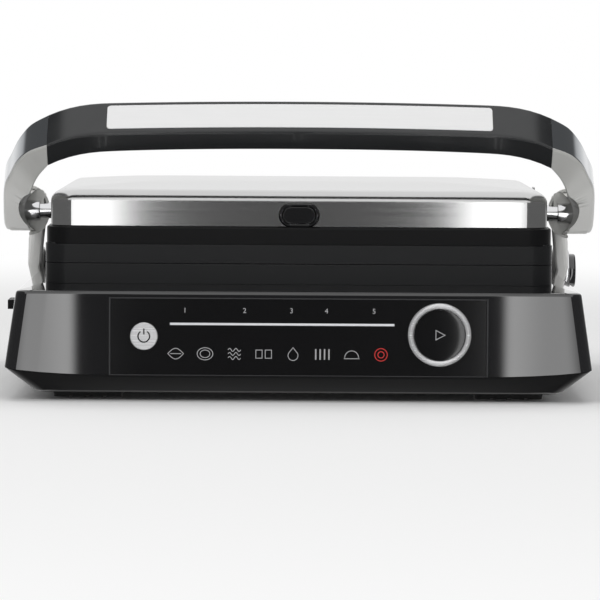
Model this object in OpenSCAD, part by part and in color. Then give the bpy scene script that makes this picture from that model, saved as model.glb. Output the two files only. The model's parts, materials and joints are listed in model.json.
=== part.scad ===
// Electric indoor grill with a hinged, floating lid.
// Origin under the middle of the base, on the surface it stands on: +X right, +Y back, +Z up.

/* [Base] */
// Width of the base at its lower edge
base_w = 376; // [368:1:380]
// Depth of the base at its lower edge
base_d = 312.5; // [306:0.5:320]
// Height of the rubber feet
foot_h = 5; // [4:0.5:8]
// Height of the seam between the lower cover and the housing
seam_z = 16.7; // [15:0.1:19]
// Height at which the side walls turn in to the deck
shoulder_z = 64; // [60:0.5:66]
// Height of the deck that carries the lower plate
deck_z = 72.7; // [71.5:0.1:75]
// How much narrower the base is at the shoulder, over both sides
base_taper = 13; // [9:0.5:15]
// Corner radius of the base, seen from above
base_r = 14; // [10:0.5:18]
// Wall of the base housing and the lower cover
base_wall = 2.8; // [2.2:0.1:3.4]

/* [Cooking plates] */
// Room on the deck beside the plates, on each side
plate_side = 23; // [21:0.5:27]
// Room on the deck in front of the plates
plate_front = 43; // [40:0.5:47]
// Room on the deck behind the plates
plate_rear = 29.5; // [28:0.5:33]
// Height of one cooking plate, with its rim
plate_h = 13.2; // [12.5:0.1:15]
// Thickness of the plates' cooking floor
plate_floor = 4; // [3.5:0.1:5]
// Width of the plates' rim
plate_rim = 6; // [5:0.5:8]
// Height of the ribs above the cooking floor
rib_h = 3.4; // [2.5:0.1:4]
// Width of one rib
rib_w = 5; // [3.5:0.5:7]
// Distance from one rib to the next
rib_pitch = 13; // [11:0.5:18]
// Gap left between the closed plates
plate_gap = 0.3; // [0.2:0.05:0.5]

/* [Lid] */
// How far the plates reach past the steel lid at each side
plate_lip = 3.3; // [3:0.1:6]
// How far the plates reach past the steel lid at the front and at the rear
plate_lip_y = 2.5; // [1.5:0.1:6]
// Height of the black frame under the steel lid
frame_h = 11.6; // [10:0.1:13]
// Height of the lid's straight side
side_h = 16; // [13:0.5:18]
// Height of the rounded shoulder and the crown above the side
crown_h = 11.5; // [9:0.5:13]
// Thickness of the lid's sheet
lid_wall = 1.2; // [0.8:0.1:1.6]

/* [Arms and handle] */
// How far each arm stands out past the base's lower edge
arm_out = 11; // [9:0.5:12]
// Height of the handle's top edge at its middle
handle_top = 192; // [186:1:200]
// Reach of each cast corner, from the handle's seam to the outside of the arm
corner_reach = 38; // [36:0.5:41]
// How far the handle's ends droop below its middle
handle_droop = 9.7; // [6:0.1:11]
// Width of the handle's broad face
grip_face = 27.6; // [26:0.1:29]
// Radius of the arms' hub at the lid pivot
hub_r = 14; // [12.5:0.5:15]
// Radius of the lid pivot pins
pin_r = 5.5; // [4.5:0.1:6]
// Radius of the rear hinge shafts
shaft_r = 6; // [5.5:0.1:6.5]
// Radius of the disc at the rear end of each arm
disc_r = 14.7; // [13:0.1:15]

/* [Controls] */
// Room beside the control panel on each side
panel_side = 68; // [58:1:70]
// Radius of the power button
power_r = 8.8; // [7:0.1:10]
// Outer radius of the dial ring
dial_r = 20.2; // [18.5:0.1:21]
// Radius of the start button inside the dial
start_r = 16.2; // [15.5:0.1:16.4]
// Status light's distance from the power button's axis
status_from_power = 16.6; // [14:0.1:30]
// Status light's distance from the dial's axis
status_from_dial = 28.8; // [24:0.1:45]
// Width of the plate release button in the lid
oval_w = 25.6; // [22:0.2:28]
// Height of the plate release button in the lid
oval_h = 15; // [13:0.2:15.4]

/* [Grease tray] */
// Width of the grease tray
tray_w = 160; // [130:1:170]
// Depth of the grease tray, front to back
tray_d = 69; // [60:1:75]
// Height of the grease tray
tray_h = 16; // [14:0.5:17]

/* [Clearances] */
// Radial clearance of shafts and pins in their bores
running_fit = 0.05; // [0.02:0.01:0.08]
// Radial clearance of push buttons in their guides
button_fit = 0.1; // [0.08:0.01:0.1]
// Gap between faces that pass each other
gap = 0.3; // [0.25:0.05:0.4]

/* [Hidden] */
$fn = 48;

eps = 0.01;
arc_steps = 5;

// Base heights and edges
dial_out = 3.5;
half_depth = (base_d + dial_out) / 2;
base_rear = half_depth;
base_front = base_rear - base_d;
edge_z = deck_z - 3.6;
deck_rear = 24;
cover_inset = 22;
cover_floor = foot_h + base_wall;
foot_w = 46;
foot_d = 14;
foot_r = 5;
foot_x = base_w / 2 - 52;
foot_rows = [base_front + 36.5, base_rear - 40];
vent_w = 5;
vent_pitch = 12;
vent_front = -60;
vent_rear = -20;

// Control panel, its board and the power board
panel_half = base_w / 2 - panel_side;
panel_t = 2;
panel_low = seam_z + 0.6;
panel_top = shoulder_z + 2.5;
panel_back = base_front + panel_t;
trim_t = 0.15;
trim_w = 1.2;
board_y = panel_back + 6.5;
board_t = 1.6;
board_side = 6;
board_low = 22;
board_top = 62;
standoff_r = 3;
standoff_x = [16 - panel_half, panel_half / 2, panel_half - 9.5];
standoff_z = [26, 57];
board_screw_r = 2.6;
board_hole_r = 1.6;
supply_x = -110;
supply_y = 20;
supply_half_w = 42;
supply_half_d = 34;
supply_z = cover_floor + 4.5;
supply_post_x = 36;
supply_post_y = 26;
coil_h = 18;
cap_h = 14;

// Plates, frame and lid, stacked on the deck
plate_w = base_w - 2 * plate_side;
plate_d = base_d - plate_front - plate_rear;
plates_y = base_front + plate_front + plate_d / 2;
plate_r = 14;
lid_w = plate_w - 2 * plate_lip;
lid_d = plate_d - 2 * plate_lip_y;
lid_r = 24;
frame_lip = 2.6;
low_plate_top = deck_z + plate_h;
up_plate_low = low_plate_top + plate_gap;
frame_low = up_plate_low + plate_h - 1;
frame_top = frame_low + frame_h;
side_top = frame_top + side_h;
lid_front = plates_y - lid_d / 2;
well_w = plate_w - 18;
well_d = plate_d - 18;
well_depth = 20;
pan_h = 16;
frame_open_w = well_w - 30;
frame_open_d = well_d - 26;
sheet_t = 1;
heater_r = 3.25;
heater_gap = well_d / 2 - 53;
heater_margin = 1.75;
heater_len = frame_open_w / 2 - heater_gap - heater_r - heater_margin;
heater_leg_x = heater_len - 18;
heater_leg_r = 2;
sensor_r = 6;
fuse_x = 20;
fuse_len = 16;

// Hinge axis, arm and pivot
arm_half_w = base_w / 2 + arm_out;
hinge_y = base_rear - 16;
hinge_z = deck_z - 4.7;
pivot_y = plates_y - 1.5;
pivot_z = frame_top + 5;
strut_in = arm_half_w - 17.5;
strut_t = 9;
arm_pocket = 42;
knee_y = hinge_y - 46;
knee_z = pivot_z + (hinge_z - pivot_z) * (knee_y - pivot_y) / (hinge_y - pivot_y);
pivot_strut_in = arm_half_w - 26;
collar_t = 3.4;
ear_in = strut_in - 19.5;
ear_out = strut_in - gap - 0.2;
ear_r = 13.2;
bracket_x = ear_in + 6;
bracket_t = 2;
bracket_foot = 8;
bracket_r = 9;
pocket_z = hinge_z - disc_r - 1.6;
pin_big_r = pin_r + 1.66;
pin_big_in = pivot_strut_in + 2.6;
pin_big_len = 11;
bush_in = lid_w / 2 - 9;
bush_t = 2.4;
release_r = 12;
release_travel = 2.5;
release_shaft_end = strut_in + strut_t / 2;
release_stem_r = shaft_r + running_fit - button_fit;

// Handle bar: middle of its lower front edge, and how it is bent
seam_x = arm_half_w - corner_reach;
bar_front = base_front + 1.5;
bar_sweep = 2;
bar_low_face = [0, 11, -12];
bar_stops = [0, 0.19, 0.37, 0.56, 0.68, 0.78, 0.86, 0.93, 1];
grip_tilt = 46;
bar_edge_z = handle_top - grip_face * sin(grip_tilt) + 0.9;
bar_round = 3;
bar_end_z = bar_edge_z - handle_droop;
bar_screw_y = bar_front + 19;
bar_screw_z = bar_end_z + 3;
bar_screw_in = 13;
bar_screw_out = 8;
inlay_half = seam_x - 38;
inlay_w = 20;
inlay_t = 0.5;

// Controls on the panel
dial_x = panel_half - 30.2;
dial_z = 44;
power_x = 21.4 - panel_half;
power_z = 42;
status_z = 50;
status_x0 = power_x + status_from_power;
status_x1 = dial_x - status_from_dial;
sleeve_in = 14.4;
sleeve_out = 16.3;
dial_front = base_front - dial_out;
switch_half = 4;
plunger_r = 1.8;
encoder_r = 19.6;
gland_x = 110;
gland_z = 40;
gland_r = 7;
gland_bore_r = 3.6;
dial_web_y = base_front - 0.8;
oval_z = frame_top + side_h / 2 - 0.4;
oval_in = 5.5;
latch_w = 16;
latch_y = lid_front + 9.5;
latch_foot = 9.5;
latch_t = 1.2;
nub_y = base_front + 59.5;
nub_z = 58.5;
nub_len = 24;
nub_h = 6;
nub_reach = base_w / 2 + 1;
nub_latch_half = 7;
nub_latch_out = well_w / 2 + 17.5;

// Grease tray
tray_wall = 1.5;
tray_z = cover_floor + gap;
tray_rear = half_depth - 0.5;
chute_w = 68;
chute_d = 13;
chute_y = plates_y + plate_d / 2 + 2 + chute_d / 2;
chute_wall = 1.2;
drain_half = chute_w / 2 - 4;
finger_half = 30;

// Screw places
boss_r = 5;
screw_r = 2;
head_r = 3.6;
head_h = 2.2;
boss_x = base_w / 2 - 20;
boss_rows = [base_front + 36.5, base_rear - 50];
frame_screw_x = frame_open_w / 2 + 9;
frame_screw_y = frame_open_d / 2 + 6;
stop_y = pivot_y + 38;
stop_len = 12;
stop_t = 1.2;

steel = "silver";
black = [0.14, 0.14, 0.15];
dark = [0.2, 0.2, 0.21];
grey = [0.7, 0.7, 0.68];

// ---------- shared shapes ----------

// Points round a rectangle with round corners, from its low corner, anticlockwise
function soft_rect(x0, y0, x1, y1, r) =
    [for (corner = [[x1, y1, 0], [x0, y1, 90], [x0, y0, 180], [x1, y0, 270]])
        for (i = [0 : arc_steps])
            let (a = corner[2] + 90 * i / arc_steps,
                 cx = corner[0] + (corner[0] == x1 ? -r : r),
                 cy = corner[1] + (corner[1] == y1 ? -r : r))
                [cx + r * cos(a), cy + r * sin(a)]];

function level(points, z) = [for (p = points) [p.x, p.y, z]];

// Closed solid through a stack of rings that have equally many points
module loft(rings) {
    n = len(rings[0]);
    last = len(rings) - 1;
    walls = [for (k = [0 : last - 1]) for (i = [0 : n - 1])
        let (a = k * n + i, b = k * n + (i + 1) % n) each [[b + n, b, a], [a + n, b + n, a]]];
    caps = [[for (i = [0 : n - 1]) i], [for (i = [n - 1 : -1 : 0]) last * n + i]];
    polyhedron(points = [for (r = rings) each r], faces = concat(walls, caps));
}

module pad(w, d, r) {
    square([w - 2 * r, d], center = true);
    square([w, d - 2 * r], center = true);
    for (x = [-1, 1], y = [-1, 1]) translate([x * (w / 2 - r), y * (d / 2 - r)]) circle(r = r);
}

module slab(w, d, h, r, z, y = 0) {
    translate([0, y, z]) linear_extrude(h) pad(w, d, r);
}

module rod_x(r, x0, x1, y, z) {
    translate([x0, y, z]) rotate([0, 90, 0]) cylinder(r = r, h = x1 - x0);
}

module rod_y(r, y0, y1, x, z) {
    translate([x, y1, z]) rotate([90, 0, 0]) cylinder(r = r, h = y1 - y0);
}

module block(x0, x1, y0, y1, z0, z1) {
    translate([x0, y0, z0]) cube([x1 - x0, y1 - y0, z1 - z0]);
}

module both_sides() {
    children();
    mirror([1, 0, 0]) children();
}

// Screw with its head down, its tip at the given height above the head's face
module screw(x, y, z, length) {
    translate([x, y, z]) cylinder(r = head_r, h = head_h);
    translate([x, y, z + head_h - eps]) cylinder(r = screw_r, h = length + eps);
}

// Tube heater with a U bend at each end of its two legs, in one closed loop
module heater_loop(z, half_len, half_gap) {
    for (y = [-1, 1]) rod_x(heater_r, -half_len, half_len, plates_y + y * half_gap, z);
    for (side = [-1, 1]) translate([side * half_len, plates_y, z]) rotate([0, 0, side * 90 - 180])
        rotate_extrude(angle = 180) translate([half_gap, 0]) circle(r = heater_r);
}

// ---------- base ----------

function base_ring(half_w, front, rear, r, z) = level(soft_rect(-half_w, front, half_w, rear, r), z);

// Outline of the housing from seam to deck, set in by one wall thickness
function housing_rings(inset, low, top) =
    let (w0 = base_w / 2 - inset, w1 = (base_w - base_taper) / 2 - inset, r = base_r - inset,
         front = base_front + inset, rear = base_rear - inset)
    [base_ring(w0, front, rear, r, low),
     base_ring(w1, front, rear - 3, r, shoulder_z),
     base_ring(w1 - 1.4, front + 1.2, rear - 4, r, (shoulder_z + edge_z) / 2 + 1),
     base_ring(w1 - 4.5, front + 4, rear - 7, r, edge_z + (top - deck_z)),
     base_ring(plate_w / 2 + 1, plates_y - plate_d / 2 - 1, rear - deck_rear, r, top)];

module base_housing() {
    color(black) difference() {
        union() {
            difference() {
                loft(housing_rings(0, seam_z, deck_z));
                loft(housing_rings(base_wall, seam_z - eps, deck_z - base_wall));
            }
            for (x = [-1, 1], y = boss_rows) translate([x * boss_x, y, seam_z])
                cylinder(r = boss_r, h = deck_z - base_wall - seam_z - 3);
        }
        slab(well_w, well_d, 3 * base_wall, plate_r, deck_z - 2 * base_wall, plates_y);
        slab(well_w + 6, well_d + 6, 2 * base_wall, plate_r, deck_z - sheet_t, plates_y);
        block(-panel_half, panel_half, base_front - 1, panel_back, panel_low, panel_top);
        block(-panel_half + 4, panel_half - 4, base_front - 1, base_front + 2 * base_wall,
              panel_low + 4, panel_top - 6);
        rod_y(dial_r, base_front - 1, base_front + 2 * base_wall, dial_x, dial_z);
        block(-chute_w / 2, chute_w / 2, chute_y - chute_d / 2, chute_y + chute_d / 2,
              deck_z - 3 * base_wall, deck_z + 1);
        block(-tray_w / 2 - 0.5, tray_w / 2 + 0.5, base_rear - 14, base_rear + 1,
              seam_z - 1, tray_z + tray_h + gap);
        both_sides() {
            block(ear_out, base_w, hinge_y - arm_pocket, base_rear + 1, pocket_z, deck_z + 1);
            block(ear_in - 0.1, base_w, hinge_y - ear_r - 0.1, base_rear + 1, pocket_z, deck_z + 1);
            for (y = boss_rows) translate([boss_x, y, seam_z - 1]) cylinder(r = screw_r + running_fit, h = 26);
        }
        block(-nub_reach, -base_w / 2 + 12, nub_y - nub_len / 2 - button_fit, nub_y + nub_len / 2 + button_fit,
              nub_z - nub_h / 2 - button_fit, nub_z + nub_h / 2 + button_fit);
        rod_y(gland_r + running_fit, base_rear - 12, base_rear + 1, gland_x, gland_z);
    }
}

// Hinge covers: a block with a round top over each steel bracket
module hinge_covers() {
    color(black) both_sides() difference() {
        union() {
            rod_x(ear_r, ear_in, ear_out, hinge_y, hinge_z);
            block(ear_in, ear_out, hinge_y - ear_r, hinge_y + ear_r, pocket_z, hinge_z);
        }
        rod_x(shaft_r + running_fit, ear_in + 1, base_w / 2, hinge_y, hinge_z);
        block(bracket_x - gap, bracket_x + bracket_t + gap,
              hinge_y - bracket_r - gap, hinge_y + bracket_r + gap, seam_z, hinge_z);
        rod_x(bracket_r + gap, bracket_x - gap, bracket_x + bracket_t + gap, hinge_y, hinge_z);
    }
}

module bottom_cover() {
    color(dark) difference() {
        union() {
            difference() {
                loft([base_ring(base_w / 2 - cover_inset, base_front + 12, base_rear - 12, base_r, foot_h),
                      base_ring(base_w / 2 - cover_inset + 4, base_front + 9, base_rear - 9, base_r,
                                foot_h + 1.5),
                      base_ring(base_w / 2, base_front, base_rear, base_r, seam_z)]);
                loft([base_ring(base_w / 2 - cover_inset, base_front + 12, base_rear - 12, base_r - 2,
                                cover_floor),
                      base_ring(base_w / 2 - 3.4, base_front + 3, base_rear - 3, base_r - 3,
                                seam_z + eps)]);
            }
            for (x = [-1, 1], y = boss_rows) translate([x * boss_x, y, foot_h + 4])
                cylinder(r = boss_r, h = seam_z - foot_h - 4);
            supply_posts(standoff_r, cover_floor - eps, supply_z - cover_floor);
            both_sides() {
                block(tray_w / 2 + 0.4, tray_w / 2 + 2.4, tray_rear - tray_d, base_rear - 14,
                      cover_floor - eps, cover_floor + 7);
                block(bracket_x - bracket_foot, bracket_x + bracket_t,
                      hinge_y - bracket_r, hinge_y + bracket_r, cover_floor - eps, seam_z);
            }
        }
        for (x = [-1, 1], y = boss_rows) translate([x * boss_x, y, 0]) {
            cylinder(r = head_r + 0.2, h = foot_h + 4 + head_h);
            cylinder(r = screw_r + 0.1, h = seam_z + 1);
        }
        block(-tray_w / 2 - 0.5, tray_w / 2 + 0.5, base_rear - 14, base_rear + 1, cover_floor, seam_z + 1);
        for (x = [-4 : 4])
            block(x * vent_pitch - vent_w / 2, x * vent_pitch + vent_w / 2, vent_front, vent_rear,
                  0, cover_floor + 1);
    }
}

// Four posts or holes at the corners of the power board
module supply_posts(r, z, h) {
    for (x = [-1, 1], y = [-1, 1])
        translate([supply_x + x * supply_post_x, supply_y + y * supply_post_y, z]) cylinder(r = r, h = h);
}

module rubber_feet() {
    color(black) for (x = [-foot_x, foot_x], y = foot_rows) translate([x, y, 0])
        linear_extrude(foot_h) pad(foot_w, foot_d, foot_r);
}

// ---------- controls ----------

module control_panel() {
    color([0.05, 0.05, 0.06]) difference() {
        union() {
            block(-panel_half + gap / 2, panel_half - gap / 2, base_front, panel_back,
                  panel_low + gap / 2, panel_top - gap / 2);
            rod_y(power_r + 2.1, panel_back - eps, panel_back + 3.5, power_x, power_z);
            for (x = standoff_x, z = standoff_z) rod_y(standoff_r, panel_back - eps, board_y, x, z);
        }
        rod_y(power_r + button_fit, base_front - 1, board_y, power_x, power_z);
        rod_y(sleeve_out + 0.6, base_front - 1, panel_back + 1, dial_x, dial_z);
        block(status_x0 - running_fit, status_x1 + running_fit,
              base_front - 1, panel_back + 1, status_z - 0.75, status_z + 0.75);
    }
}

module panel_trim() {
    color(steel) difference() {
        block(-panel_half - trim_w, panel_half + trim_w, base_front - trim_t, base_front,
              panel_low - 0.4, panel_top + 0.4);
        block(-panel_half + 0.1, panel_half - 0.1, base_front - 1, base_front + 1,
              panel_low + 0.2, panel_top - 0.4);
    }
}

module status_bar() {
    color("white") {
        block(status_x0, status_x1, base_front, panel_back,
              status_z - 0.7, status_z + 0.7);
        block(status_x0 - 2, status_x1 + 2, panel_back, board_y,
              status_z - 2, status_z + 2);
    }
}

module control_board() {
    color("darkgreen") difference() {
        block(board_side - panel_half, panel_half - board_side, board_y, board_y + board_t,
              board_low, board_top);
        for (x = standoff_x, z = standoff_z) rod_y(board_hole_r, board_y - 1, board_y + 3, x, z);
    }
}

module rotary_encoder() {
    color(dark) difference() {
        rod_y(encoder_r, panel_back, board_y, dial_x, dial_z);
        rod_y(sleeve_out + button_fit, panel_back - 1, board_y + 1, dial_x, dial_z);
    }
}

module start_switch() {
    color(grey) {
        block(dial_x - switch_half, dial_x + switch_half, board_y - 2.2, board_y,
              dial_z - switch_half, dial_z + switch_half);
        rod_y(plunger_r, board_y - 3, board_y - 2.2, dial_x, dial_z);
    }
}

module power_switch() {
    color(grey) {
        block(power_x - switch_half, power_x + switch_half, board_y - 2, board_y,
              power_z - switch_half, power_z + switch_half);
        rod_y(plunger_r, board_y - 2.6, board_y - 2, power_x, power_z);
    }
}

module power_board() {
    color("darkgreen") difference() {
        union() {
            block(supply_x - supply_half_w, supply_x + supply_half_w, supply_y - supply_half_d,
                  supply_y + supply_half_d, supply_z, supply_z + board_t);
            block(supply_x - 30, supply_x - 10, supply_y - 20, supply_y - 4, supply_z + board_t,
                  supply_z + board_t + coil_h);
            block(supply_x - 2, supply_x + 26, supply_y + 2, supply_y + 26, supply_z + board_t,
                  supply_z + board_t + cap_h);
        }
        supply_posts(board_hole_r, cover_floor, 2 * supply_z);
    }
}

module board_screws() {
    color(steel) {
        supply_posts(board_screw_r, supply_z + board_t, board_t);
        for (x = standoff_x, z = standoff_z)
            rod_y(board_screw_r, board_y + board_t, board_y + 2 * board_t, x, z);
    }
}

// ---------- base internals ----------

module cord_gland() {
    color(black) difference() {
        union() {
            rod_y(gland_r, base_rear - 8, base_rear - 0.6, gland_x, gland_z);
            rod_y(gland_r + 2.5, base_rear - 9.6, base_rear - 6.2, gland_x, gland_z);
        }
        rod_y(gland_bore_r, base_rear - 11, base_rear + 1, gland_x, gland_z);
    }
}

module hinge_brackets() {
    color(steel) both_sides() difference() {
        union() {
            block(bracket_x, bracket_x + bracket_t, hinge_y - bracket_r, hinge_y + bracket_r,
                  seam_z, hinge_z);
            block(bracket_x - bracket_foot, bracket_x + bracket_t, hinge_y - bracket_r, hinge_y + bracket_r,
                  seam_z, seam_z + bracket_t);
            rod_x(bracket_r, bracket_x, bracket_x + bracket_t, hinge_y, hinge_z);
        }
        rod_x(shaft_r + running_fit, bracket_x - 1, bracket_x + bracket_t + 1, hinge_y, hinge_z);
    }
}

// The right shaft is shorter and leaves room for the release button's stem
module hinge_shafts() {
    color(steel) {
        rod_x(shaft_r, ear_in + 2, release_shaft_end, hinge_y, hinge_z);
        mirror([1, 0, 0]) rod_x(shaft_r, ear_in + 2, strut_in + strut_t, hinge_y, hinge_z);
    }
}

module housing_screws() {
    color(steel) for (x = [-1, 1], y = boss_rows) screw(x * boss_x, y, foot_h + 4 - eps, 22);
}

module drip_chute() {
    color(steel) difference() {
        block(-chute_w / 2 - chute_wall, chute_w / 2 + chute_wall, chute_y - chute_d / 2 - chute_wall,
              chute_y + chute_d / 2 + chute_wall, tray_z + tray_h + 2, edge_z - base_wall + 0.4);
        block(-chute_w / 2, chute_w / 2, chute_y - chute_d / 2, chute_y + chute_d / 2, 0, deck_z);
    }
}

module drip_tray() {
    color(dark) difference() {
        block(-tray_w / 2, tray_w / 2, tray_rear - tray_d, tray_rear, tray_z, tray_z + tray_h);
        block(-tray_w / 2 + tray_wall, tray_w / 2 - tray_wall, tray_rear - tray_d + tray_wall, tray_rear - 9,
              tray_z + tray_wall, tray_z + tray_h + 1);
        block(-finger_half, finger_half, tray_rear - 7, tray_rear + 1, tray_z - 1, tray_z + tray_h - 3);
    }
}

module lower_reflector() {
    color(steel) difference() {
        union() {
            slab(well_w + 5.4, well_d + 5.4, sheet_t, plate_r, deck_z - sheet_t, plates_y);
            slab(well_w - 0.6, well_d - 0.6, well_depth, plate_r, deck_z - well_depth, plates_y);
        }
        slab(well_w - 0.6 - 2 * sheet_t, well_d - 0.6 - 2 * sheet_t, well_depth, plate_r - 1,
             deck_z - well_depth + sheet_t, plates_y);
    }
}

low_floor_z = low_plate_top - rib_h - 3 - plate_floor;
low_heater_z = low_floor_z - heater_r - 0.05;

module lower_heater() {
    color(dark) {
        heater_loop(low_heater_z, heater_len, heater_gap);
        for (x = [-1, 1]) translate([x * heater_leg_x, plates_y - heater_gap, deck_z - well_depth + sheet_t])
            cylinder(r = heater_leg_r, h = low_heater_z - deck_z + well_depth - sheet_t - 1);
    }
}

module lower_sensor() {
    color(steel) translate([0, plates_y, deck_z - well_depth + sheet_t])
        cylinder(r = sensor_r, h = low_floor_z - deck_z + well_depth - sheet_t - 0.05);
}

module thermal_fuse() {
    color(grey) {
        rod_x(heater_leg_r, fuse_x, fuse_x + fuse_len, plates_y, deck_z - well_depth + sheet_t + 2.5);
        for (x = [fuse_x, fuse_x + fuse_len - 2]) block(x, x + 2, plates_y - 3, plates_y + 3,
            deck_z - well_depth + sheet_t, deck_z - well_depth + sheet_t + 3);
    }
}

// Cooking plate with its ribs up, standing on z = 0
module cooking_plate() {
    floor_z = plate_h - rib_h - 3 - plate_floor;
    difference() {
        slab(plate_w, plate_d, plate_h, plate_r, 0);
        slab(plate_w - 2 * plate_rim, plate_d - 2 * plate_rim, plate_h, plate_r - plate_rim + 1,
             floor_z + plate_floor);
        slab(well_w - 10, well_d - 10, floor_z + 1, plate_r - 2, floor_z > 1 ? -1 : -2);
    }
    rib_count = floor((plate_w / 2 - plate_rim - 8) / rib_pitch);
    for (i = [-rib_count : rib_count])
        block(i * rib_pitch - rib_w / 2, i * rib_pitch + rib_w / 2, -plate_d / 2 + plate_rim + 9,
              plate_d / 2 - plate_rim - 9, floor_z + plate_floor - eps, floor_z + plate_floor + rib_h);
}

module lower_plate() {
    color(dark) translate([0, plates_y, deck_z]) difference() {
        cooking_plate();
        block(-drain_half, drain_half, plate_d / 2 - plate_rim - 1, plate_d / 2 + 1,
              plate_h - rib_h - 3, plate_h + 1);
    }
}

module lower_latch() {
    color(steel) {
        block(-nub_latch_out, -well_w / 2 - 5, nub_y - nub_latch_half, nub_y + nub_latch_half,
              nub_z - nub_h / 2, nub_z - nub_h / 2 + latch_t);
        block(-nub_latch_out, 1.5 - nub_latch_out, nub_y - nub_latch_half, nub_y + nub_latch_half,
              nub_z - nub_h / 2, edge_z - base_wall - 0.5);
    }
}

// ---------- arms and handle ----------

function bend(x) = let (a = abs(x) / seam_x)
    handle_droop * (0.3 * a * a + (a > 0.745 ? 0.7 * pow((a - 0.745) / 0.255, 2.5) : 0));

// Ring round a bar from its lower outer edge, with the broad face and the front face as vectors
function bar_ring(edge, broad, front) = let (lb = norm(broad), lf = norm(front))
    [for (p = soft_rect(0, 0, lf, lb, bar_round)) edge + front * (p.x / lf) + broad * (p.y / lb)];

function bar_edge(x) = [x, bar_front + bar_sweep * abs(x) / seam_x, bar_edge_z - bend(x)];

function handle_ring(x) = bar_ring(bar_edge(x), [0, grip_face * cos(grip_tilt), grip_face * sin(grip_tilt)],
    bar_low_face - [0, 0, 1.8 * pow(x / seam_x, 4)]);

module handle_bar() {
    color(black) difference() {
        loft([for (i = [len(bar_stops) - 1 : -1 : 1]) handle_ring(-seam_x * bar_stops[i]),
              for (share = bar_stops) handle_ring(seam_x * share)]);
        both_sides()
            rod_x(screw_r + button_fit, seam_x - bar_screw_in - 1, seam_x + 1, bar_screw_y, bar_screw_z);
    }
}

// Stations from the seam to the hub: shares of the way out, back and down of the lower outer edge,
// the tilt of the broad face, then the front face's run inward, back and down
corner_course = [[0, 0, 0, grip_tilt, 0, 11, 13.8], [0.31, 0.03, 0.07, 41, 6.3, 13, 15.3],
    [0.53, 0.095, 0.18, 36, 10.5, 13, 14.5], [0.68, 0.2, 0.32, 36, 13, 13, 12],
    [0.82, 0.335, 0.47, 38, 15, 8, 8.5], [0.93, 0.64, 0.73, 52, 16.5, 4, 4.5],
    [1, 0.905, 0.94, 62, 17.4, 0.5, 1.5], [1, 1, 1, 71, 17.5, 0, 0]];
course_smooth = 3;
hub_skin = 0.8;

function spline(p, i, t) = let (a = p[max(i - 1, 0)], b = p[i], c = p[i + 1], d = p[min(i + 2, len(p) - 1)])
    0.5 * (2 * b + (c - a) * t + (2 * a - 5 * b + 4 * c - d) * t * t + (3 * b - a - 3 * c + d) * t * t * t);

function corner_ring(s) = let (broad = grip_face - 3 * sin(180 * min(1, s[1] * 2)) - 3.3 * pow(s[1], 3))
    bar_ring([seam_x + (arm_half_w - seam_x) * min(1, s[0]),
              bar_front + bar_sweep + (pivot_y - bar_front - bar_sweep) * s[1],
              bar_end_z - (bar_end_z - pivot_z + hub_r - hub_skin) * s[2]],
             [0, broad * cos(s[3]), broad * sin(s[3])], [-s[4], s[5], -s[6]]);

module arm() {
    difference() {
        union() {
            loft([for (i = [0 : len(corner_course) - 2]) for (k = [0 : course_smooth - 1])
                corner_ring(spline(corner_course, i, k / course_smooth)),
                corner_ring(corner_course[len(corner_course) - 1])]);
            rod_x(hub_r, pivot_strut_in, arm_half_w - 2, pivot_y, pivot_z);
            hull() {
                rod_x(hub_r - 1, pivot_strut_in, pivot_strut_in + strut_t, pivot_y, pivot_z, $fn = 32);
                rod_x(hub_r - 2, strut_in, strut_in + strut_t, knee_y, knee_z, $fn = 32);
            }
            hull() {
                rod_x(hub_r - 2, strut_in, strut_in + strut_t, knee_y, knee_z, $fn = 32);
                rod_x(disc_r - 1, strut_in, strut_in + strut_t, hinge_y, hinge_z, $fn = 32);
            }
            rod_x(disc_r, strut_in, strut_in + strut_t, hinge_y, hinge_z);
        }
        rod_x(pin_big_r, pin_big_in, pin_big_in + pin_big_len, pivot_y, pivot_z);
        rod_x(pin_r + 0.5, pivot_strut_in - 1, pin_big_in + 1, pivot_y, pivot_z);
        rod_x(shaft_r + running_fit, strut_in - 1, strut_in + strut_t + 1, hinge_y, hinge_z);
        rod_x(screw_r, seam_x - 1, seam_x + bar_screw_out, bar_screw_y, bar_screw_z);
    }
}

module arm_left() {
    color(grey) mirror([1, 0, 0]) arm();
}

module arm_right() {
    color(grey) arm();
}

// Section of the inlay strip at a place along the bar, on the broad face and proud by its thickness
function inlay_ring(x) =
    let (edge = bar_edge(x),
         along = [0, cos(grip_tilt), sin(grip_tilt)],
         out = [0, -sin(grip_tilt), cos(grip_tilt)])
    [for (p = [[0, 0], [1, 0], [1, 1], [0, 1]])
        edge + along * ((grip_face - inlay_w) / 2 + inlay_w * p.x) + out * (inlay_t * p.y)];

module handle_inlay() {
    color(steel) loft([for (i = [-inlay_half : inlay_half / 8 : inlay_half]) inlay_ring(i)]);
}

module handle_screws() {
    color(steel) both_sides()
        rod_x(screw_r, seam_x - bar_screw_in, seam_x + bar_screw_out, bar_screw_y, bar_screw_z);
}

module hinge_collar() {
    color(steel) difference() {
        rod_x(disc_r + 0.2, strut_in + strut_t, strut_in + strut_t + collar_t, hinge_y, hinge_z);
        rod_x(release_r + button_fit, strut_in, strut_in + 20, hinge_y, hinge_z);
    }
}

module hinge_button() {
    color(black) {
        rod_x(release_r, strut_in + strut_t + release_travel + gap, arm_half_w - 0.5, hinge_y, hinge_z);
        rod_x(release_stem_r, release_shaft_end + release_travel + gap, arm_half_w - 1, hinge_y, hinge_z);
    }
}

module pivot_pins() {
    color(steel) both_sides() {
        rod_x(pin_big_r, pin_big_in, pin_big_in + pin_big_len, pivot_y, pivot_z);
        rod_x(pin_r, bush_in - 4, pin_big_in + 1, pivot_y, pivot_z);
    }
}

// ---------- lid ----------

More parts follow.
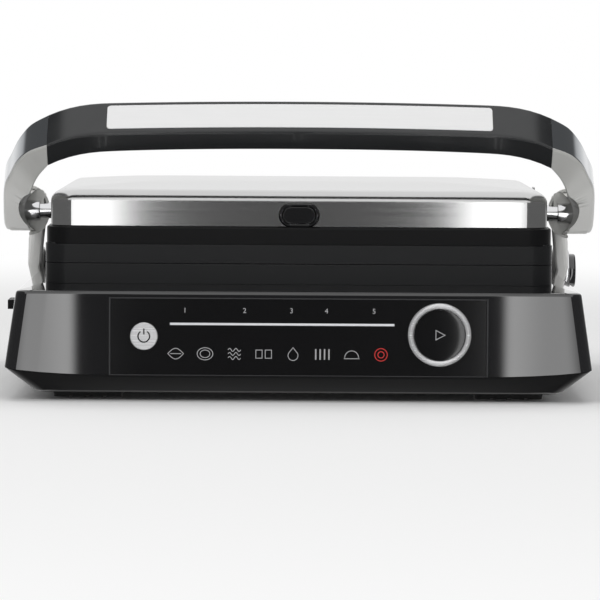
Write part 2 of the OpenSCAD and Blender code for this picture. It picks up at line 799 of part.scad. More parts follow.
// Lid outline at a height, set in from the sides by one amount
function lid_ring(inset, r, z) =
    level(soft_rect(-lid_w / 2 + inset, lid_front + inset, lid_w / 2 - inset, lid_front + lid_d - inset, r),
          z);

// Crown steps: share of the crown's height, how far in from the side, corner radius
crown_steps = [[0, 0.4, 24], [0.25, 1.6, 23.5], [0.45, 4, 23], [0.6, 7.5, 22], [0.68, 10.5, 22],
               [0.84, 26, 30], [0.95, 50, 32], [1, 78, 30]];

function lid_rings(wall, low) = concat([lid_ring(wall, lid_r, low)],
    [for (s = crown_steps) lid_ring(s[1] + wall, s[2], side_top + crown_h * s[0] - wall)]);

module lid_shell() {
    color(steel) difference() {
        loft(lid_rings(0, frame_top));
        loft(lid_rings(lid_wall, frame_top - 1));
        rod_x(pin_r + 0.5, -lid_w, lid_w, pivot_y, pivot_z);
        oval(lid_front - 5, lid_front + 5, oval_w + 1, oval_h + 1);
    }
}

// Stadium through the lid's front wall
module oval(y0, y1, w, h) {
    block(-w / 2 + h / 2, w / 2 - h / 2, y0, y1, oval_z - h / 2, oval_z + h / 2);
    for (x = [-1, 1]) rod_y(h / 2, y0, y1, x * (w - h) / 2, oval_z);
}

module lid_frame() {
    color(black) difference() {
        union() {
            slab(lid_w + 2 * frame_lip, lid_d + 2 * frame_lip, frame_h, lid_r + 2, frame_low, plates_y);
            for (x = [-1, 1], y = [-1, 1]) translate([x * frame_screw_x, plates_y + y * frame_screw_y, frame_low])
                cylinder(r = boss_r, h = frame_h + 6);
            both_sides() block(bush_in - 3, lid_w / 2 - lid_wall - 0.8, pivot_y - 11, pivot_y + 11,
                               frame_low, pivot_z + 9);
        }
        slab(plate_w - 6, plate_d - 6, 1 + gap / 10, plate_r, frame_low - eps, plates_y);
        slab(frame_open_w, frame_open_d, frame_h + 2, plate_r, frame_low - 1, plates_y);
        both_sides() {
            rod_x(pin_r + bush_t + 0.1, bush_in - 4, lid_w, pivot_y, pivot_z);
            for (y = [-1, 1]) translate([frame_screw_x, plates_y + y * frame_screw_y, frame_low - 1])
                cylinder(r = screw_r + running_fit, h = frame_h + 4);
        }
        block(-oval_w / 2 - 1, oval_w / 2 + 1, lid_front - 1, lid_front + 12, frame_top - 2, frame_top + 1);
    }
}

up_plate_top = up_plate_low + plate_h;
up_floor_z = up_plate_low + rib_h + 3 + plate_floor;
pan_ceiling = up_plate_top + gap / 3 + pan_h - sheet_t;

module upper_plate() {
    color(dark) translate([0, plates_y, up_plate_top]) mirror([0, 0, 1]) intersection() {
        cooking_plate();
        union() {
            slab(plate_w + 1, plate_d + 1, plate_h, 10, 1);
            slab(plate_w - 6.6, plate_d - 6.6, plate_h, plate_r, -1);
        }
    }
}

module lid_reflector() {
    color(steel) difference() {
        slab(frame_open_w - 0.6, frame_open_d - 0.6, pan_h, plate_r, up_plate_top + gap / 3, plates_y);
        slab(frame_open_w - 0.6 - 2 * sheet_t, frame_open_d - 0.6 - 2 * sheet_t, pan_h, plate_r - 1,
             up_plate_top + gap / 3 - sheet_t, plates_y);
    }
}

module upper_heater() {
    color(dark) {
        heater_loop(up_floor_z + heater_r + 0.05, heater_len, heater_gap);
        for (x = [-1, 1]) translate([x * heater_leg_x, plates_y - heater_gap, up_floor_z + heater_r])
            cylinder(r = heater_leg_r, h = pan_ceiling - 0.1 - up_floor_z - heater_r);
    }
}

module upper_sensor() {
    color(steel) translate([0, plates_y, up_floor_z + 0.05])
        cylinder(r = sensor_r, h = pan_ceiling - up_floor_z - 0.15);
}

module insulation_pad() {
    color("wheat") slab(well_w - 60, well_d - 50, 6, plate_r, pan_ceiling + sheet_t, plates_y);
}

module upper_latch() {
    color(steel) {
        block(-latch_w / 2, latch_w / 2, latch_y, latch_y + latch_t, frame_top, oval_z + 3);
        block(-latch_w / 2, latch_w / 2, latch_y, latch_y + latch_foot, frame_top, frame_top + latch_t);
    }
}

module pivot_bushes() {
    color(grey) both_sides() difference() {
        rod_x(pin_r + bush_t, bush_in, lid_w / 2 - lid_wall - 0.4, pivot_y, pivot_z);
        rod_x(pin_r + running_fit, bush_in - 1, lid_w / 2, pivot_y, pivot_z);
    }
}

module lid_screws() {
    color(steel) for (x = [-1, 1], y = [-1, 1])
        translate([x * frame_screw_x, plates_y + y * frame_screw_y, frame_low + 1.4])
            cylinder(r = screw_r, h = frame_h + 1);
}

module tilt_stop() {
    color(steel)
        block(lid_w / 2, lid_w / 2 + stop_t, stop_y, stop_y + stop_len, frame_top + 3, side_top + 5);
}

module oval_bezel() {
    color(black) difference() {
        union() {
            oval(lid_front - 0.6, lid_front + 6, oval_w + 0.4, oval_h + 0.4);
            oval(lid_front + lid_wall + 0.5, lid_front + lid_wall + 2, oval_w + 4, oval_h - 0.4);
        }
        oval(lid_front - 2, lid_front + 8, oval_w - 4, oval_h - 4);
    }
}

module upper_button() {
    color(black) oval(lid_front - 0.9, lid_front + oval_in, oval_w - 4.2, oval_h - 4.2);
}

module lower_button() {
    color(black) block(-nub_reach, -base_w / 2 + base_wall + 7, nub_y - nub_len / 2, nub_y + nub_len / 2,
                       nub_z - nub_h / 2, nub_z + nub_h / 2);
}

module power_button() {
    color(steel) rod_y(power_r, base_front - 0.8, board_y - 3.8, power_x, power_z);
}

module dial_ring() {
    color(steel) difference() {
        union() {
            rod_y(dial_r, dial_front, base_front - gap, dial_x, dial_z);
            rod_y(sleeve_out, base_front - 1, board_y - 0.4, dial_x, dial_z);
        }
        rod_y(start_r + button_fit, dial_front - 1, dial_web_y, dial_x, dial_z);
        rod_y(sleeve_in, dial_front - 1, board_y + 1, dial_x, dial_z);
    }
}

module start_button() {
    color(black) {
        rod_y(start_r, dial_front + 0.2, dial_front + 1.5, dial_x, dial_z);
        rod_y(sleeve_in - button_fit, dial_front + 1, board_y - 4.2, dial_x, dial_z);
    }
}

base_housing();
bottom_cover();
rubber_feet();
control_panel();
panel_trim();
status_bar();
control_board();
rotary_encoder();
start_switch();
power_switch();
power_board();
board_screws();
cord_gland();
hinge_covers();
hinge_brackets();
hinge_shafts();
housing_screws();
drip_chute();
lower_reflector();
lower_heater();
lower_sensor();
thermal_fuse();
lower_plate();
lower_latch();
arm_left();
arm_right();
handle_bar();
handle_inlay();
handle_screws();
hinge_collar();
pivot_pins();
lid_shell();
lid_frame();
lid_reflector();
upper_heater();
upper_sensor();
insulation_pad();
upper_plate();
upper_latch();
pivot_bushes();
lid_screws();
tilt_stop();
oval_bezel();
drip_tray();
power_button();
dial_ring();
start_button();
hinge_button();
lower_button();
upper_button();
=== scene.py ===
"""Visual model of an electric indoor grill with a hinged, floating lid.

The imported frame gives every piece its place. Each sub-assembly is a class that models its pieces
with Blender's own tools, dresses them and lets them ride on the frame's bodies.
Lengths in the classes are in millimetres and become metres where a mesh is made.
"""

import json
import logging
import math
from dataclasses import dataclass, field
from enum import Enum
from typing import Callable, Iterable, Iterator, Sequence

import bmesh
import bpy
from mathutils import Matrix, Vector

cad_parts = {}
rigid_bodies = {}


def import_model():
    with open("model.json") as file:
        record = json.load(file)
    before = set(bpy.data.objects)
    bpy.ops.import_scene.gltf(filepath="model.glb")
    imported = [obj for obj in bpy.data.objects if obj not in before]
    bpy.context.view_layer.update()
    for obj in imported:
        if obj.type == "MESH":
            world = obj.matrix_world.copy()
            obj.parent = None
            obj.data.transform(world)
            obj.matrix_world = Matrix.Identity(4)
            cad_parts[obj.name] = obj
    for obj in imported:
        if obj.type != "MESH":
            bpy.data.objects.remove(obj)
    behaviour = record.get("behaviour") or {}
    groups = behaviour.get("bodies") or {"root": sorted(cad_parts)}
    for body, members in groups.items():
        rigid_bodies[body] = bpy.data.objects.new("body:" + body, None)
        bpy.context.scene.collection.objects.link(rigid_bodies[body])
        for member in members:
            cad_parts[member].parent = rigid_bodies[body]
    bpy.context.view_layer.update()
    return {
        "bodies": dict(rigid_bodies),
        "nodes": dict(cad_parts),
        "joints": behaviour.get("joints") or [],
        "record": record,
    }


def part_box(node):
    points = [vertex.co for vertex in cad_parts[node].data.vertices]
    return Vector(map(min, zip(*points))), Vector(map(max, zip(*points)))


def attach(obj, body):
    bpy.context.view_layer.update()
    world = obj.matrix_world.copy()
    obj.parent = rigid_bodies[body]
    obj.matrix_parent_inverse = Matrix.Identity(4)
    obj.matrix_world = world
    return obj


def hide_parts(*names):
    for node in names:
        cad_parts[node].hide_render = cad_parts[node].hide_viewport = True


LOG = logging.getLogger("grill")
MM = 0.001
SAME = 1e-3  # points closer than this, in millimetres, are level with each other
UPRIGHT = 0.99  # a face whose normal passes this looks straight up
WHITE = (1.0, 1.0, 1.0, 1.0)
DUST_COLOUR = (0.55, 0.54, 0.52, 1.0)

Point = tuple[float, float, float]
Ring = list[Vector]
Colour = tuple[float, float, float]


class Axis(Enum):
    """Direction in which a turned piece points."""

    X = (0.0, math.pi / 2, 0.0)
    Y = (math.pi / 2, 0.0, 0.0)
    Z = (0.0, 0.0, 0.0)


class Body(Enum):
    """Moving bodies of the frame."""

    BASE = "base"
    ARMS = "arms"
    LID = "lid"
    TRAY = "tray"
    POWER_KEY = "power_key"
    DIAL = "dial"
    START_KEY = "start_key"
    HINGE_KEY = "hinge_key"
    LOWER_KEY = "lower_key"
    UPPER_KEY = "upper_key"


# ---------------------------------------------------------------- finishes


class Graph:
    """Thin wrapper round a node tree that adds and links nodes."""

    def __init__(self, tree: bpy.types.NodeTree) -> None:
        """Keeps the tree.

        Args:
            tree: The node tree to build in.
        """
        self.tree = tree
        self.column = 0

    @staticmethod
    def of(owner: bpy.types.Material | bpy.types.World) -> "Graph":
        """Empties a material's or a world's tree.

        Args:
            owner: The material or world.

        Returns:
            A graph on its tree.
        """
        owner.use_nodes = True
        owner.node_tree.nodes.clear()
        return Graph(owner.node_tree)

    def feed(self, socket: bpy.types.NodeSocket, value: object) -> None:
        """Feeds an input.

        Args:
            socket: The input.
            value: An output to link to it, or its value.
        """
        if isinstance(value, bpy.types.NodeSocket):
            self.tree.links.new(value, socket)
        else:
            socket.default_value = value

    def add(self, kind: str, **settings: object) -> bpy.types.Node:
        """Adds a node, sets its properties and feeds its inputs.

        Args:
            kind: Blender's name of the node type.
            settings: Properties of the node, or inputs written as in_NAME or in_NUMBER.

        Returns:
            The new node.
        """
        node = self.tree.nodes.new(kind)
        self.column += 1
        node.location = (self.column * 180.0, 0.0)
        for key, value in settings.items():
            if key.startswith("in_"):
                place = key[3:].replace("_", " ")
                self.feed(node.inputs[int(place) if place.isdigit() else place], value)
            else:
                setattr(node, key, value)
        return node

    def math(self, operation: str, first: object, second: object) -> bpy.types.NodeSocket:
        """The result of a Math node, such as MULTIPLY, on two outputs or numbers."""
        return self.add("ShaderNodeMath", operation=operation, in_0=first, in_1=second).outputs[0]

    def blend(self, share: object, first: object, second: object) -> bpy.types.NodeSocket:
        """The blend of two colours."""
        return self.add("ShaderNodeMix", data_type="RGBA", in_0=share, in_6=first, in_7=second).outputs[2]

    def mix(self, share: object, first: bpy.types.Node, second: bpy.types.Node) -> bpy.types.Node:
        """A mix of two shaders."""
        return self.add("ShaderNodeMixShader", in_0=share, in_1=first.outputs[0], in_2=second.outputs[0])

    def noise(self, vector: object, scale: object, detail: float, roughness: float) -> bpy.types.NodeSocket:
        """The value of a noise texture."""
        return self.add("ShaderNodeTexNoise", in_Vector=vector, in_Scale=scale, in_Detail=detail,
                        in_Roughness=roughness).outputs["Fac"]

    def ramp(self, source: bpy.types.NodeSocket, low: float, high: float, first: float = 0.0,
             last: float = 1.0, kind: str = "SMOOTHSTEP") -> bpy.types.NodeSocket:
        """A step of a value between two limits.

        Args:
            source: The value.
            low: Where the step starts.
            high: Where it ends.
            first: Result below the step.
            last: Result above it.
            kind: Blender's name of the step's form.

        Returns:
            The result's socket.
        """
        return self.add("ShaderNodeMapRange", interpolation_type=kind, in_Value=source, in_From_Min=low,
                        in_From_Max=high, in_To_Min=first, in_To_Max=last).outputs["Result"]


class Effect(Enum):
    """Shared effects, each one shader node group."""

    GRAIN = "moulded_grain"
    BRUSH = "brushed_lines"
    DUST = "settled_dust"


class EffectShop:
    """Builds the shared node groups once and hands them out."""

    def __init__(self) -> None:
        """Starts with no group built."""
        self.groups: dict[Effect, bpy.types.NodeTree] = {}

    def group(self, effect: Effect) -> bpy.types.NodeTree:
        """The node group of an effect, built on first use.

        Args:
            effect: The effect.

        Returns:
            Its node group.
        """
        if effect not in self.groups:
            builders = {Effect.GRAIN: self._grain, Effect.BRUSH: self._brush, Effect.DUST: self._dust}
            self.groups[effect] = builders[effect]()
        return self.groups[effect]

    @staticmethod
    def _start(effect: Effect, inputs: Iterable[tuple[str, float]],
               outputs: Iterable[str]) -> tuple[Graph, bpy.types.Node, bpy.types.Node]:
        """Makes an empty group with float sockets and a vector input.

        Args:
            effect: The effect that names the group.
            inputs: Names and default values of its float inputs.
            outputs: Names of its float outputs.

        Returns:
            The graph, the group's input node and its output node.
        """
        tree = bpy.data.node_groups.new(effect.value, "ShaderNodeTree")
        tree.interface.new_socket("Vector", in_out="INPUT", socket_type="NodeSocketVector")
        for name, value in inputs:
            socket = tree.interface.new_socket(name, in_out="INPUT", socket_type="NodeSocketFloat")
            socket.default_value = value
        for name in outputs:
            tree.interface.new_socket(name, in_out="OUTPUT", socket_type="NodeSocketFloat")
        graph = Graph(tree)
        return graph, graph.add("NodeGroupInput"), graph.add("NodeGroupOutput")

    def _grain(self) -> bpy.types.NodeTree:
        """Fine moulded or cast grain: a cloudy roughness change and a fine height.

        Returns:
            The group.
        """
        graph, source, sink = self._start(Effect.GRAIN, (("Scale", 900.0), ("Cloud", 14.0)),
                                          ("Height", "Shift"))
        vector, scale, cloud = (source.outputs[name] for name in ("Vector", "Scale", "Cloud"))
        graph.feed(sink.inputs["Height"], graph.noise(vector, scale, 3.0, 0.6))
        graph.feed(sink.inputs["Shift"], graph.math("SUBTRACT", graph.noise(vector, cloud, 4.0, 0.55), 0.5))
        return graph.tree

    def _brush(self) -> bpy.types.NodeTree:
        """Brushed metal: fine lines along X, in two widths, and a broad streak.

        Returns:
            The group.
        """
        graph, source, sink = self._start(Effect.BRUSH, (("Across", 1400.0), ("Along", 5.0)),
                                          ("Height", "Shift"))
        vector, across, along = (source.outputs[name] for name in ("Vector", "Across", "Along"))
        stretch = graph.add("ShaderNodeCombineXYZ", in_X=along, in_Y=across, in_Z=across)
        scaled = graph.add("ShaderNodeVectorMath", operation="MULTIPLY", in_0=vector,
                           in_1=stretch.outputs["Vector"])
        lines = graph.noise(scaled.outputs["Vector"], 1.0, 2.0, 0.7)
        broad = graph.noise(scaled.outputs["Vector"], 0.12, 3.0, 0.5)
        mixed = graph.math("ADD", lines, graph.math("MULTIPLY", broad, 0.6))
        graph.feed(sink.inputs["Height"], mixed)
        graph.feed(sink.inputs["Shift"], graph.math("SUBTRACT", mixed, 0.8))
        return graph.tree

    def _dust(self) -> bpy.types.NodeTree:
        """A mask of thin dust that settles on faces that look up.

        Returns:
            The group.
        """
        graph, source, sink = self._start(Effect.DUST, (("Scale", 60.0), ("Amount", 0.1)), ("Mask",))
        facing = graph.add("ShaderNodeNewGeometry").outputs["Normal"]
        rise = graph.add("ShaderNodeSeparateXYZ", in_Vector=facing).outputs["Z"]
        spots = graph.noise(source.outputs["Vector"], source.outputs["Scale"], 6.0, 0.7)
        both = graph.math("MULTIPLY", graph.ramp(rise, 0.3, 1.0, kind="LINEAR"),
                          graph.ramp(spots, 0.42, 0.75, kind="LINEAR"))
        graph.feed(sink.inputs["Mask"], graph.math("MULTIPLY", both, source.outputs["Amount"]))
        return graph.tree


@dataclass(frozen=True)
class Finish:
    """One surface finish, built as a Principled material with shared effects."""

    name: str
    colour: Colour
    roughness: float
    metallic: float = 0.0
    specular: float = 0.5
    coat: float = 0.0
    coat_roughness: float = 0.02
    effect: Effect = Effect.GRAIN
    fine: float = 900.0
    bump: float = 0.05
    depth: float = 0.02
    mottling: float = 0.1
    tint_shift: float = 0.08
    dust: float = 0.0
    glow: float = 0.0
    stretch: float = 0.0

    def build(self, effects: EffectShop) -> bpy.types.Material:
        """Builds the material.

        Args:
            effects: The shop that holds the shared node groups.

        Returns:
            The material.
        """
        material = bpy.data.materials.new(self.name)
        material.diffuse_color = (*self.colour, 1.0)
        graph = Graph.of(material)
        where = graph.add("ShaderNodeTexCoord").outputs["Object"]
        pattern = graph.add("ShaderNodeGroup", node_tree=effects.group(self.effect), in_Vector=where)
        pattern.inputs["Across" if self.effect is Effect.BRUSH else "Scale"].default_value = self.fine
        shift, change = pattern.outputs["Shift"], self.tint_shift
        shade = tuple(c * (1 - change) for c in self.colour)
        light = tuple(min(1.0, c * (1 + change) + 0.01 * change) for c in self.colour)
        colour = graph.blend(graph.math("ADD", shift, 0.5), (*shade, 1.0), (*light, 1.0))
        rough = graph.math("ADD", graph.math("MULTIPLY", shift, self.mottling), self.roughness)
        if self.dust > 0:
            dust = graph.add("ShaderNodeGroup", node_tree=effects.group(Effect.DUST), in_Vector=where,
                             in_Amount=self.dust).outputs["Mask"]
            colour = graph.blend(dust, colour, DUST_COLOUR)
            rough = graph.math("ADD", rough, dust)
        bump = graph.add("ShaderNodeBump", in_Strength=self.bump, in_Distance=self.depth * MM,
                         in_Height=pattern.outputs["Height"])
        shader = graph.add("ShaderNodeBsdfPrincipled", in_Base_Color=colour, in_Roughness=rough,
                           in_Metallic=self.metallic, in_Specular_IOR_Level=self.specular,
                           in_Coat_Weight=self.coat, in_Coat_Roughness=self.coat_roughness,
                           in_Normal=bump.outputs["Normal"])
        if self.stretch > 0:
            lines = graph.add("ShaderNodeCombineXYZ", in_X=1.0, in_Y=0.12).outputs["Vector"]
            for name, value in (("Tangent", lines), ("Anisotropic", self.stretch),
                                ("Anisotropic Rotation", 0.25)):
                graph.feed(shader.inputs[name], value)
        if self.glow > 0:
            graph.feed(shader.inputs["Emission Color"], (*self.colour, 1.0))
            graph.feed(shader.inputs["Emission Strength"], self.glow)
        graph.add("ShaderNodeOutputMaterial", in_Surface=shader.outputs["BSDF"])
        return material


class Look(Enum):
    """Every finish of the grill, with the record's slot it stands for."""

    GLOSS_BLACK = ("gloss_black", Finish("gloss_black", (0.004, 0.004, 0.005), 0.02, specular=0.8, coat=0.6,
                                         fine=260.0, bump=0.005, depth=0.01, mottling=0.02, dust=0.01))
    HANDLE_BLACK = ("gloss_black", Finish("handle_black", (0.01, 0.011, 0.012), 0.16, specular=0.55,
                                          coat=0.15, fine=420.0, bump=0.03, mottling=0.06, dust=0.015))
    SATIN_BLACK = ("satin_black", Finish("satin_black", (0.005, 0.005, 0.0055), 0.4, specular=0.22,
                                         fine=1500.0, bump=0.2, depth=0.05, dust=0.015))
    RUBBER = ("rubber", Finish("foot_rubber", (0.022, 0.022, 0.022), 0.74, fine=1100.0, bump=0.3, depth=0.06))
    PANEL = ("panel_glass", Finish("panel_gloss", (0.003, 0.003, 0.0035), 0.05, specular=0.5, coat=0.2,
                                   fine=200.0, bump=0.01, depth=0.01, mottling=0.03, dust=0.01))
    GROOVE = ("trim_silver", Finish("panel_groove", (0.05, 0.05, 0.053), 0.4, metallic=0.4, fine=900.0,
                                    bump=0.04))
    TRIM = ("trim_silver", Finish("silver_trim", (0.74, 0.74, 0.75), 0.26, metallic=0.55, effect=Effect.BRUSH,
                                  fine=2200.0, bump=0.1, depth=0.01, mottling=0.1))
    LIGHT = ("light_guide", Finish("status_light", (0.62, 0.63, 0.65), 0.35, fine=300.0, bump=0.02,
                                   glow=0.25))
    PRINT = ("light_guide", Finish("panel_print", (0.42, 0.42, 0.43), 0.45, fine=500.0, bump=0.03))
    PRINT_RED = ("light_guide", Finish("panel_print_red", (0.6, 0.03, 0.025), 0.45, fine=500.0, bump=0.03,
                                       glow=0.2))
    BOARD = ("board_green", Finish("board_laminate", (0.02, 0.12, 0.05), 0.45, fine=420.0, bump=0.2,
                                   tint_shift=0.3))
    STEEL = ("steel_plain", Finish("zinc_steel", (0.5, 0.5, 0.5), 0.36, metallic=1.0, effect=Effect.BRUSH,
                                   fine=700.0, bump=0.15, depth=0.02, tint_shift=0.12))
    PLATE = ("plate_coating", Finish("non_stick_coating", (0.01, 0.0105, 0.0115), 0.36, specular=0.36,
                                     fine=1300.0, bump=0.35, depth=0.05, mottling=0.2, tint_shift=0.25,
                                     dust=0.02))
    CAST = ("cast_satin", Finish("satin_casting", (0.6, 0.6, 0.58), 0.4, metallic=0.35, fine=1700.0,
                                 bump=0.16, depth=0.03, mottling=0.12, tint_shift=0.05))
    POLISHED = ("cast_satin", Finish("polished_casting", (0.34, 0.36, 0.38), 0.1, metallic=1.0, fine=900.0,
                                     bump=0.03, depth=0.01, mottling=0.06, tint_shift=0.04))
    BRUSHED = ("brushed_lid", Finish("brushed_lid", (0.56, 0.56, 0.56), 0.12, metallic=1.0,
                                     effect=Effect.BRUSH, fine=1500.0, bump=0.06, depth=0.01, mottling=0.04,
                                     tint_shift=0.08, stretch=0.95))
    INLAY = ("inlay_satin", Finish("satin_inlay", (0.74, 0.74, 0.74), 0.4, metallic=0.15, effect=Effect.BRUSH,
                                   fine=2600.0, bump=0.06, depth=0.01, mottling=0.08, tint_shift=0.03))
    CHROME = ("pin_chrome", Finish("turned_chrome", (0.68, 0.68, 0.69), 0.1, metallic=1.0, fine=900.0,
                                   bump=0.04, mottling=0.05, tint_shift=0.02))
    WOOL = ("wool", Finish("mineral_wool", (0.55, 0.5, 0.36), 0.9, fine=260.0, bump=0.8, depth=0.6,
                           tint_shift=0.3))
    BRONZE = ("bronze", Finish("sintered_bronze", (0.5, 0.33, 0.14), 0.4, metallic=1.0, fine=1500.0,
                               bump=0.2))

    @property
    def slot(self) -> str:
        """Name of the record's material slot."""
        return self.value[0]


class Wardrobe:
    """Builds each look's material once and dresses objects with it."""

    def __init__(self) -> None:
        """Starts with no material built."""
        self.effects = EffectShop()
        self.built: dict[Look, bpy.types.Material] = {}

    def material(self, look: Look) -> bpy.types.Material:
        """The material of a look, built on first use.

        Args:
            look: The look.

        Returns:
            Its material.
        """
        if look not in self.built:
            self.built[look] = look.value[1].build(self.effects)
        return self.built[look]

    def dress(self, piece: bpy.types.Object, look: Look) -> None:
        """Gives a piece one look all over."""
        piece.data.materials.clear()
        piece.data.materials.append(self.material(look))

    def dress_node(self, node: bpy.types.Object, look: Look) -> None:
        """Puts a better material in each slot of a frame node."""
        for slot in node.material_slots:
            slot.material = self.material(look)


# ---------------------------------------------------------------- mesh tools


class Bench:
    """Modelling steps, each a short run of Blender's own operators."""

    @staticmethod
    def leave() -> None:
        """Leaves edit mode."""
        bpy.ops.object.mode_set(mode="OBJECT")

    @staticmethod
    def clear() -> None:
        """Leaves edit mode and deselects everything."""
        if bpy.context.object and bpy.context.object.mode != "OBJECT":
            Bench.leave()
        bpy.ops.object.select_all(action="DESELECT")

    @staticmethod
    def activate(piece: bpy.types.Object) -> None:
        """Makes a piece the only selected and the active object.

        Args:
            piece: The piece.
        """
        Bench.clear()
        piece.select_set(True)
        bpy.context.view_layer.objects.active = piece

    @staticmethod
    def settle(piece: bpy.types.Object) -> None:
        """Moves an object's place, turn and scale into its mesh."""
        Bench.activate(piece)
        bpy.ops.object.transform_apply(location=True, rotation=True, scale=True)

    @staticmethod
    def named(name: str) -> bpy.types.Object:
        """Names the object that was made last."""
        bpy.context.object.name = name
        return bpy.context.object

    @staticmethod
    def modify(piece: bpy.types.Object, kind: str, **settings: object) -> None:
        """Applies a modifier.

        Args:
            piece: The object.
            kind: Blender's name of the modifier.
            settings: Its settings.
        """
        Bench.activate(piece)
        modifier = piece.modifiers.new(kind, kind)
        for key, value in settings.items():
            setattr(modifier, key, value)
        bpy.ops.object.modifier_apply(modifier=modifier.name)

    @staticmethod
    def cube(name: str, low: Point, high: Point) -> bpy.types.Object:
        """Adds a box between two corners.

        Args:
            name: Name of the object.
            low: Lowest corner, in millimetres.
            high: Highest corner, in millimetres.

        Returns:
            The object, with its place in its mesh.
        """
        Bench.clear()
        bpy.ops.mesh.primitive_cube_add(size=1.0, location=[(a + b) / 2 * MM for a, b in zip(low, high)])
        piece = Bench.named(name)
        piece.scale = [(b - a) * MM for a, b in zip(low, high)]
        Bench.settle(piece)
        return piece

    @staticmethod
    def rod(name: str, radius: float, centre: Point, length: float, axis: Axis,
            sides: int = 64) -> bpy.types.Object:
        """Adds a round bar about its centre.

        Args:
            name: Name of the object.
            radius: Radius in millimetres.
            centre: Middle of the bar, in millimetres.
            length: Length in millimetres.
            axis: Direction of the bar.
            sides: Number of sides.

        Returns:
            The object, with its place in its mesh.
        """
        Bench.clear()
        bpy.ops.mesh.primitive_cylinder_add(vertices=sides, radius=radius * MM, depth=length * MM,
                                            location=[c * MM for c in centre], rotation=axis.value)
        piece = Bench.named(name)
        Bench.settle(piece)
        return piece

    @staticmethod
    def pad(name: str, width: float, depth: float, radius: float, low: float, high: float, y: float = 0.0,
            x: float = 0.0, steps: int = 8) -> bpy.types.Object:
        """Adds a flat block with round upright corners.

        Args:
            name: Name of the object.
            width: Size along X.
            depth: Size along Y.
            radius: Corner radius.
            low: Height of the underside.
            high: Height of the top.
            y: Middle along Y.
            x: Middle along X.
            steps: Segments of each corner.

        Returns:
            The object.
        """
        piece = Bench.cube(name, (x - width / 2, y - depth / 2, low), (x + width / 2, y + depth / 2, high))
        Bench.pick_edges(piece, lambda a, b: abs(a.x - b.x) < SAME and abs(a.y - b.y) < SAME)
        bpy.ops.mesh.bevel(offset=radius * MM, segments=steps, affect="EDGES", offset_type="OFFSET")
        Bench.leave()
        return piece

    @staticmethod
    def unpick(piece: bpy.types.Object) -> bpy.types.Mesh:
        """Makes a piece the active object with nothing selected in its mesh.

        Args:
            piece: The object.

        Returns:
            Its mesh.
        """
        Bench.activate(piece)
        mesh = piece.data
        for group in (mesh.vertices, mesh.edges, mesh.polygons):
            group.foreach_set("select", [False] * len(group))
        return mesh

    @staticmethod
    def enter(edges: bool) -> None:
        """Enters edit mode on edges or on faces."""
        bpy.context.tool_settings.mesh_select_mode = (False, edges, not edges)
        bpy.ops.object.mode_set(mode="EDIT")

    @staticmethod
    def pick_faces(piece: bpy.types.Object, test: Callable[[bpy.types.MeshPolygon], bool]) -> None:
        """Selects the faces that pass a test and enters edit mode on them.

        Args:
            piece: The object.
            test: Says whether a face is wanted.
        """
        for face in Bench.unpick(piece).polygons:
            if test(face):
                face.select = True
        Bench.enter(edges=False)

    @staticmethod
    def pick_edges(piece: bpy.types.Object, test: Callable[[Vector, Vector], bool]) -> None:
        """Selects the edges whose two ends pass a test and enters edit mode on them.

        Args:
            piece: The object.
            test: Says whether an edge between two points, in millimetres, is wanted.
        """
        mesh = Bench.unpick(piece)
        for edge in mesh.edges:
            if test(*(mesh.vertices[i].co / MM for i in edge.vertices)):
                edge.select = True
        Bench.enter(edges=True)

    @staticmethod
    def pick_all(piece: bpy.types.Object) -> None:
        """Enters edit mode with everything selected.

        Args:
            piece: The piece to edit.
        """
        Bench.activate(piece)
        bpy.ops.object.mode_set(mode="EDIT")
        bpy.ops.mesh.select_all(action="SELECT")

    @staticmethod
    def extrude(y: float = 0.0, z: float = 0.0) -> None:
        """Extrudes what is selected along Y and Z, in metres."""
        bpy.ops.mesh.extrude_region_move(TRANSFORM_OT_translate={"value": (0.0, y, z)})

    @staticmethod
    def resize(wide: float, deep: float, centre: Point) -> None:
        """Scales what is selected along X and Y about a centre in metres."""
        bpy.ops.transform.resize(value=(wide, deep, 1.0), center_override=centre)

    @staticmethod
    def divide_long(piece: bpy.types.Object, cuts: int, longer: float = 100.0) -> None:
        """Divides a pad's long straight edges along X, so that its walls can be bowed.

        Args:
            piece: The pad.
            cuts: Number of new points on each edge.
            longer: Length from which an edge counts as long.
        """
        Bench.pick_edges(piece, lambda a, b: abs(a.y - b.y) < SAME and abs(a.z - b.z) < SAME
                         and abs(a.x - b.x) > longer)
        bpy.ops.mesh.subdivide(number_cuts=cuts)
        Bench.leave()

    @staticmethod
    def grow(piece: bpy.types.Object, steps: Sequence[tuple[float, float, float, float]]) -> None:
        """Extrudes the top face of a block through outlines at rising heights.

        Args:
            piece: The block.
            steps: For each outline its height, half width, front and rear, in millimetres.
        """
        top = max(v.co.z for v in piece.data.vertices)
        Bench.pick_faces(piece, lambda f: f.normal.z > UPRIGHT and abs(f.center.z - top) < SAME * MM)
        chosen = [v.co.copy() for v in piece.data.vertices if abs(v.co.z - top) < SAME * MM]
        half = max(v.x for v in chosen)
        front, rear = min(v.y for v in chosen), max(v.y for v in chosen)
        for step in steps:
            height, new_half, new_front, new_rear = (value * MM for value in step)
            middle = (new_front + new_rear) / 2
            Bench.extrude(middle - (front + rear) / 2, height - top)
            Bench.resize(new_half / half, (new_rear - new_front) / (rear - front), (0.0, middle, height))
            top, half, front, rear = height, new_half, new_front, new_rear
        Bench.leave()

    @staticmethod
    def cut(piece: bpy.types.Object, cutter: bpy.types.Object, join: bool = False) -> None:
        """Cuts one object out of another, or joins it on, and deletes it.

        Args:
            piece: The object that stays.
            cutter: The object that is used up.
            join: Joins the two instead of cutting.
        """
        Bench.modify(piece, "BOOLEAN", operation="UNION" if join else "DIFFERENCE", solver="EXACT",
                     object=cutter)
        bpy.data.objects.remove(cutter, do_unlink=True)

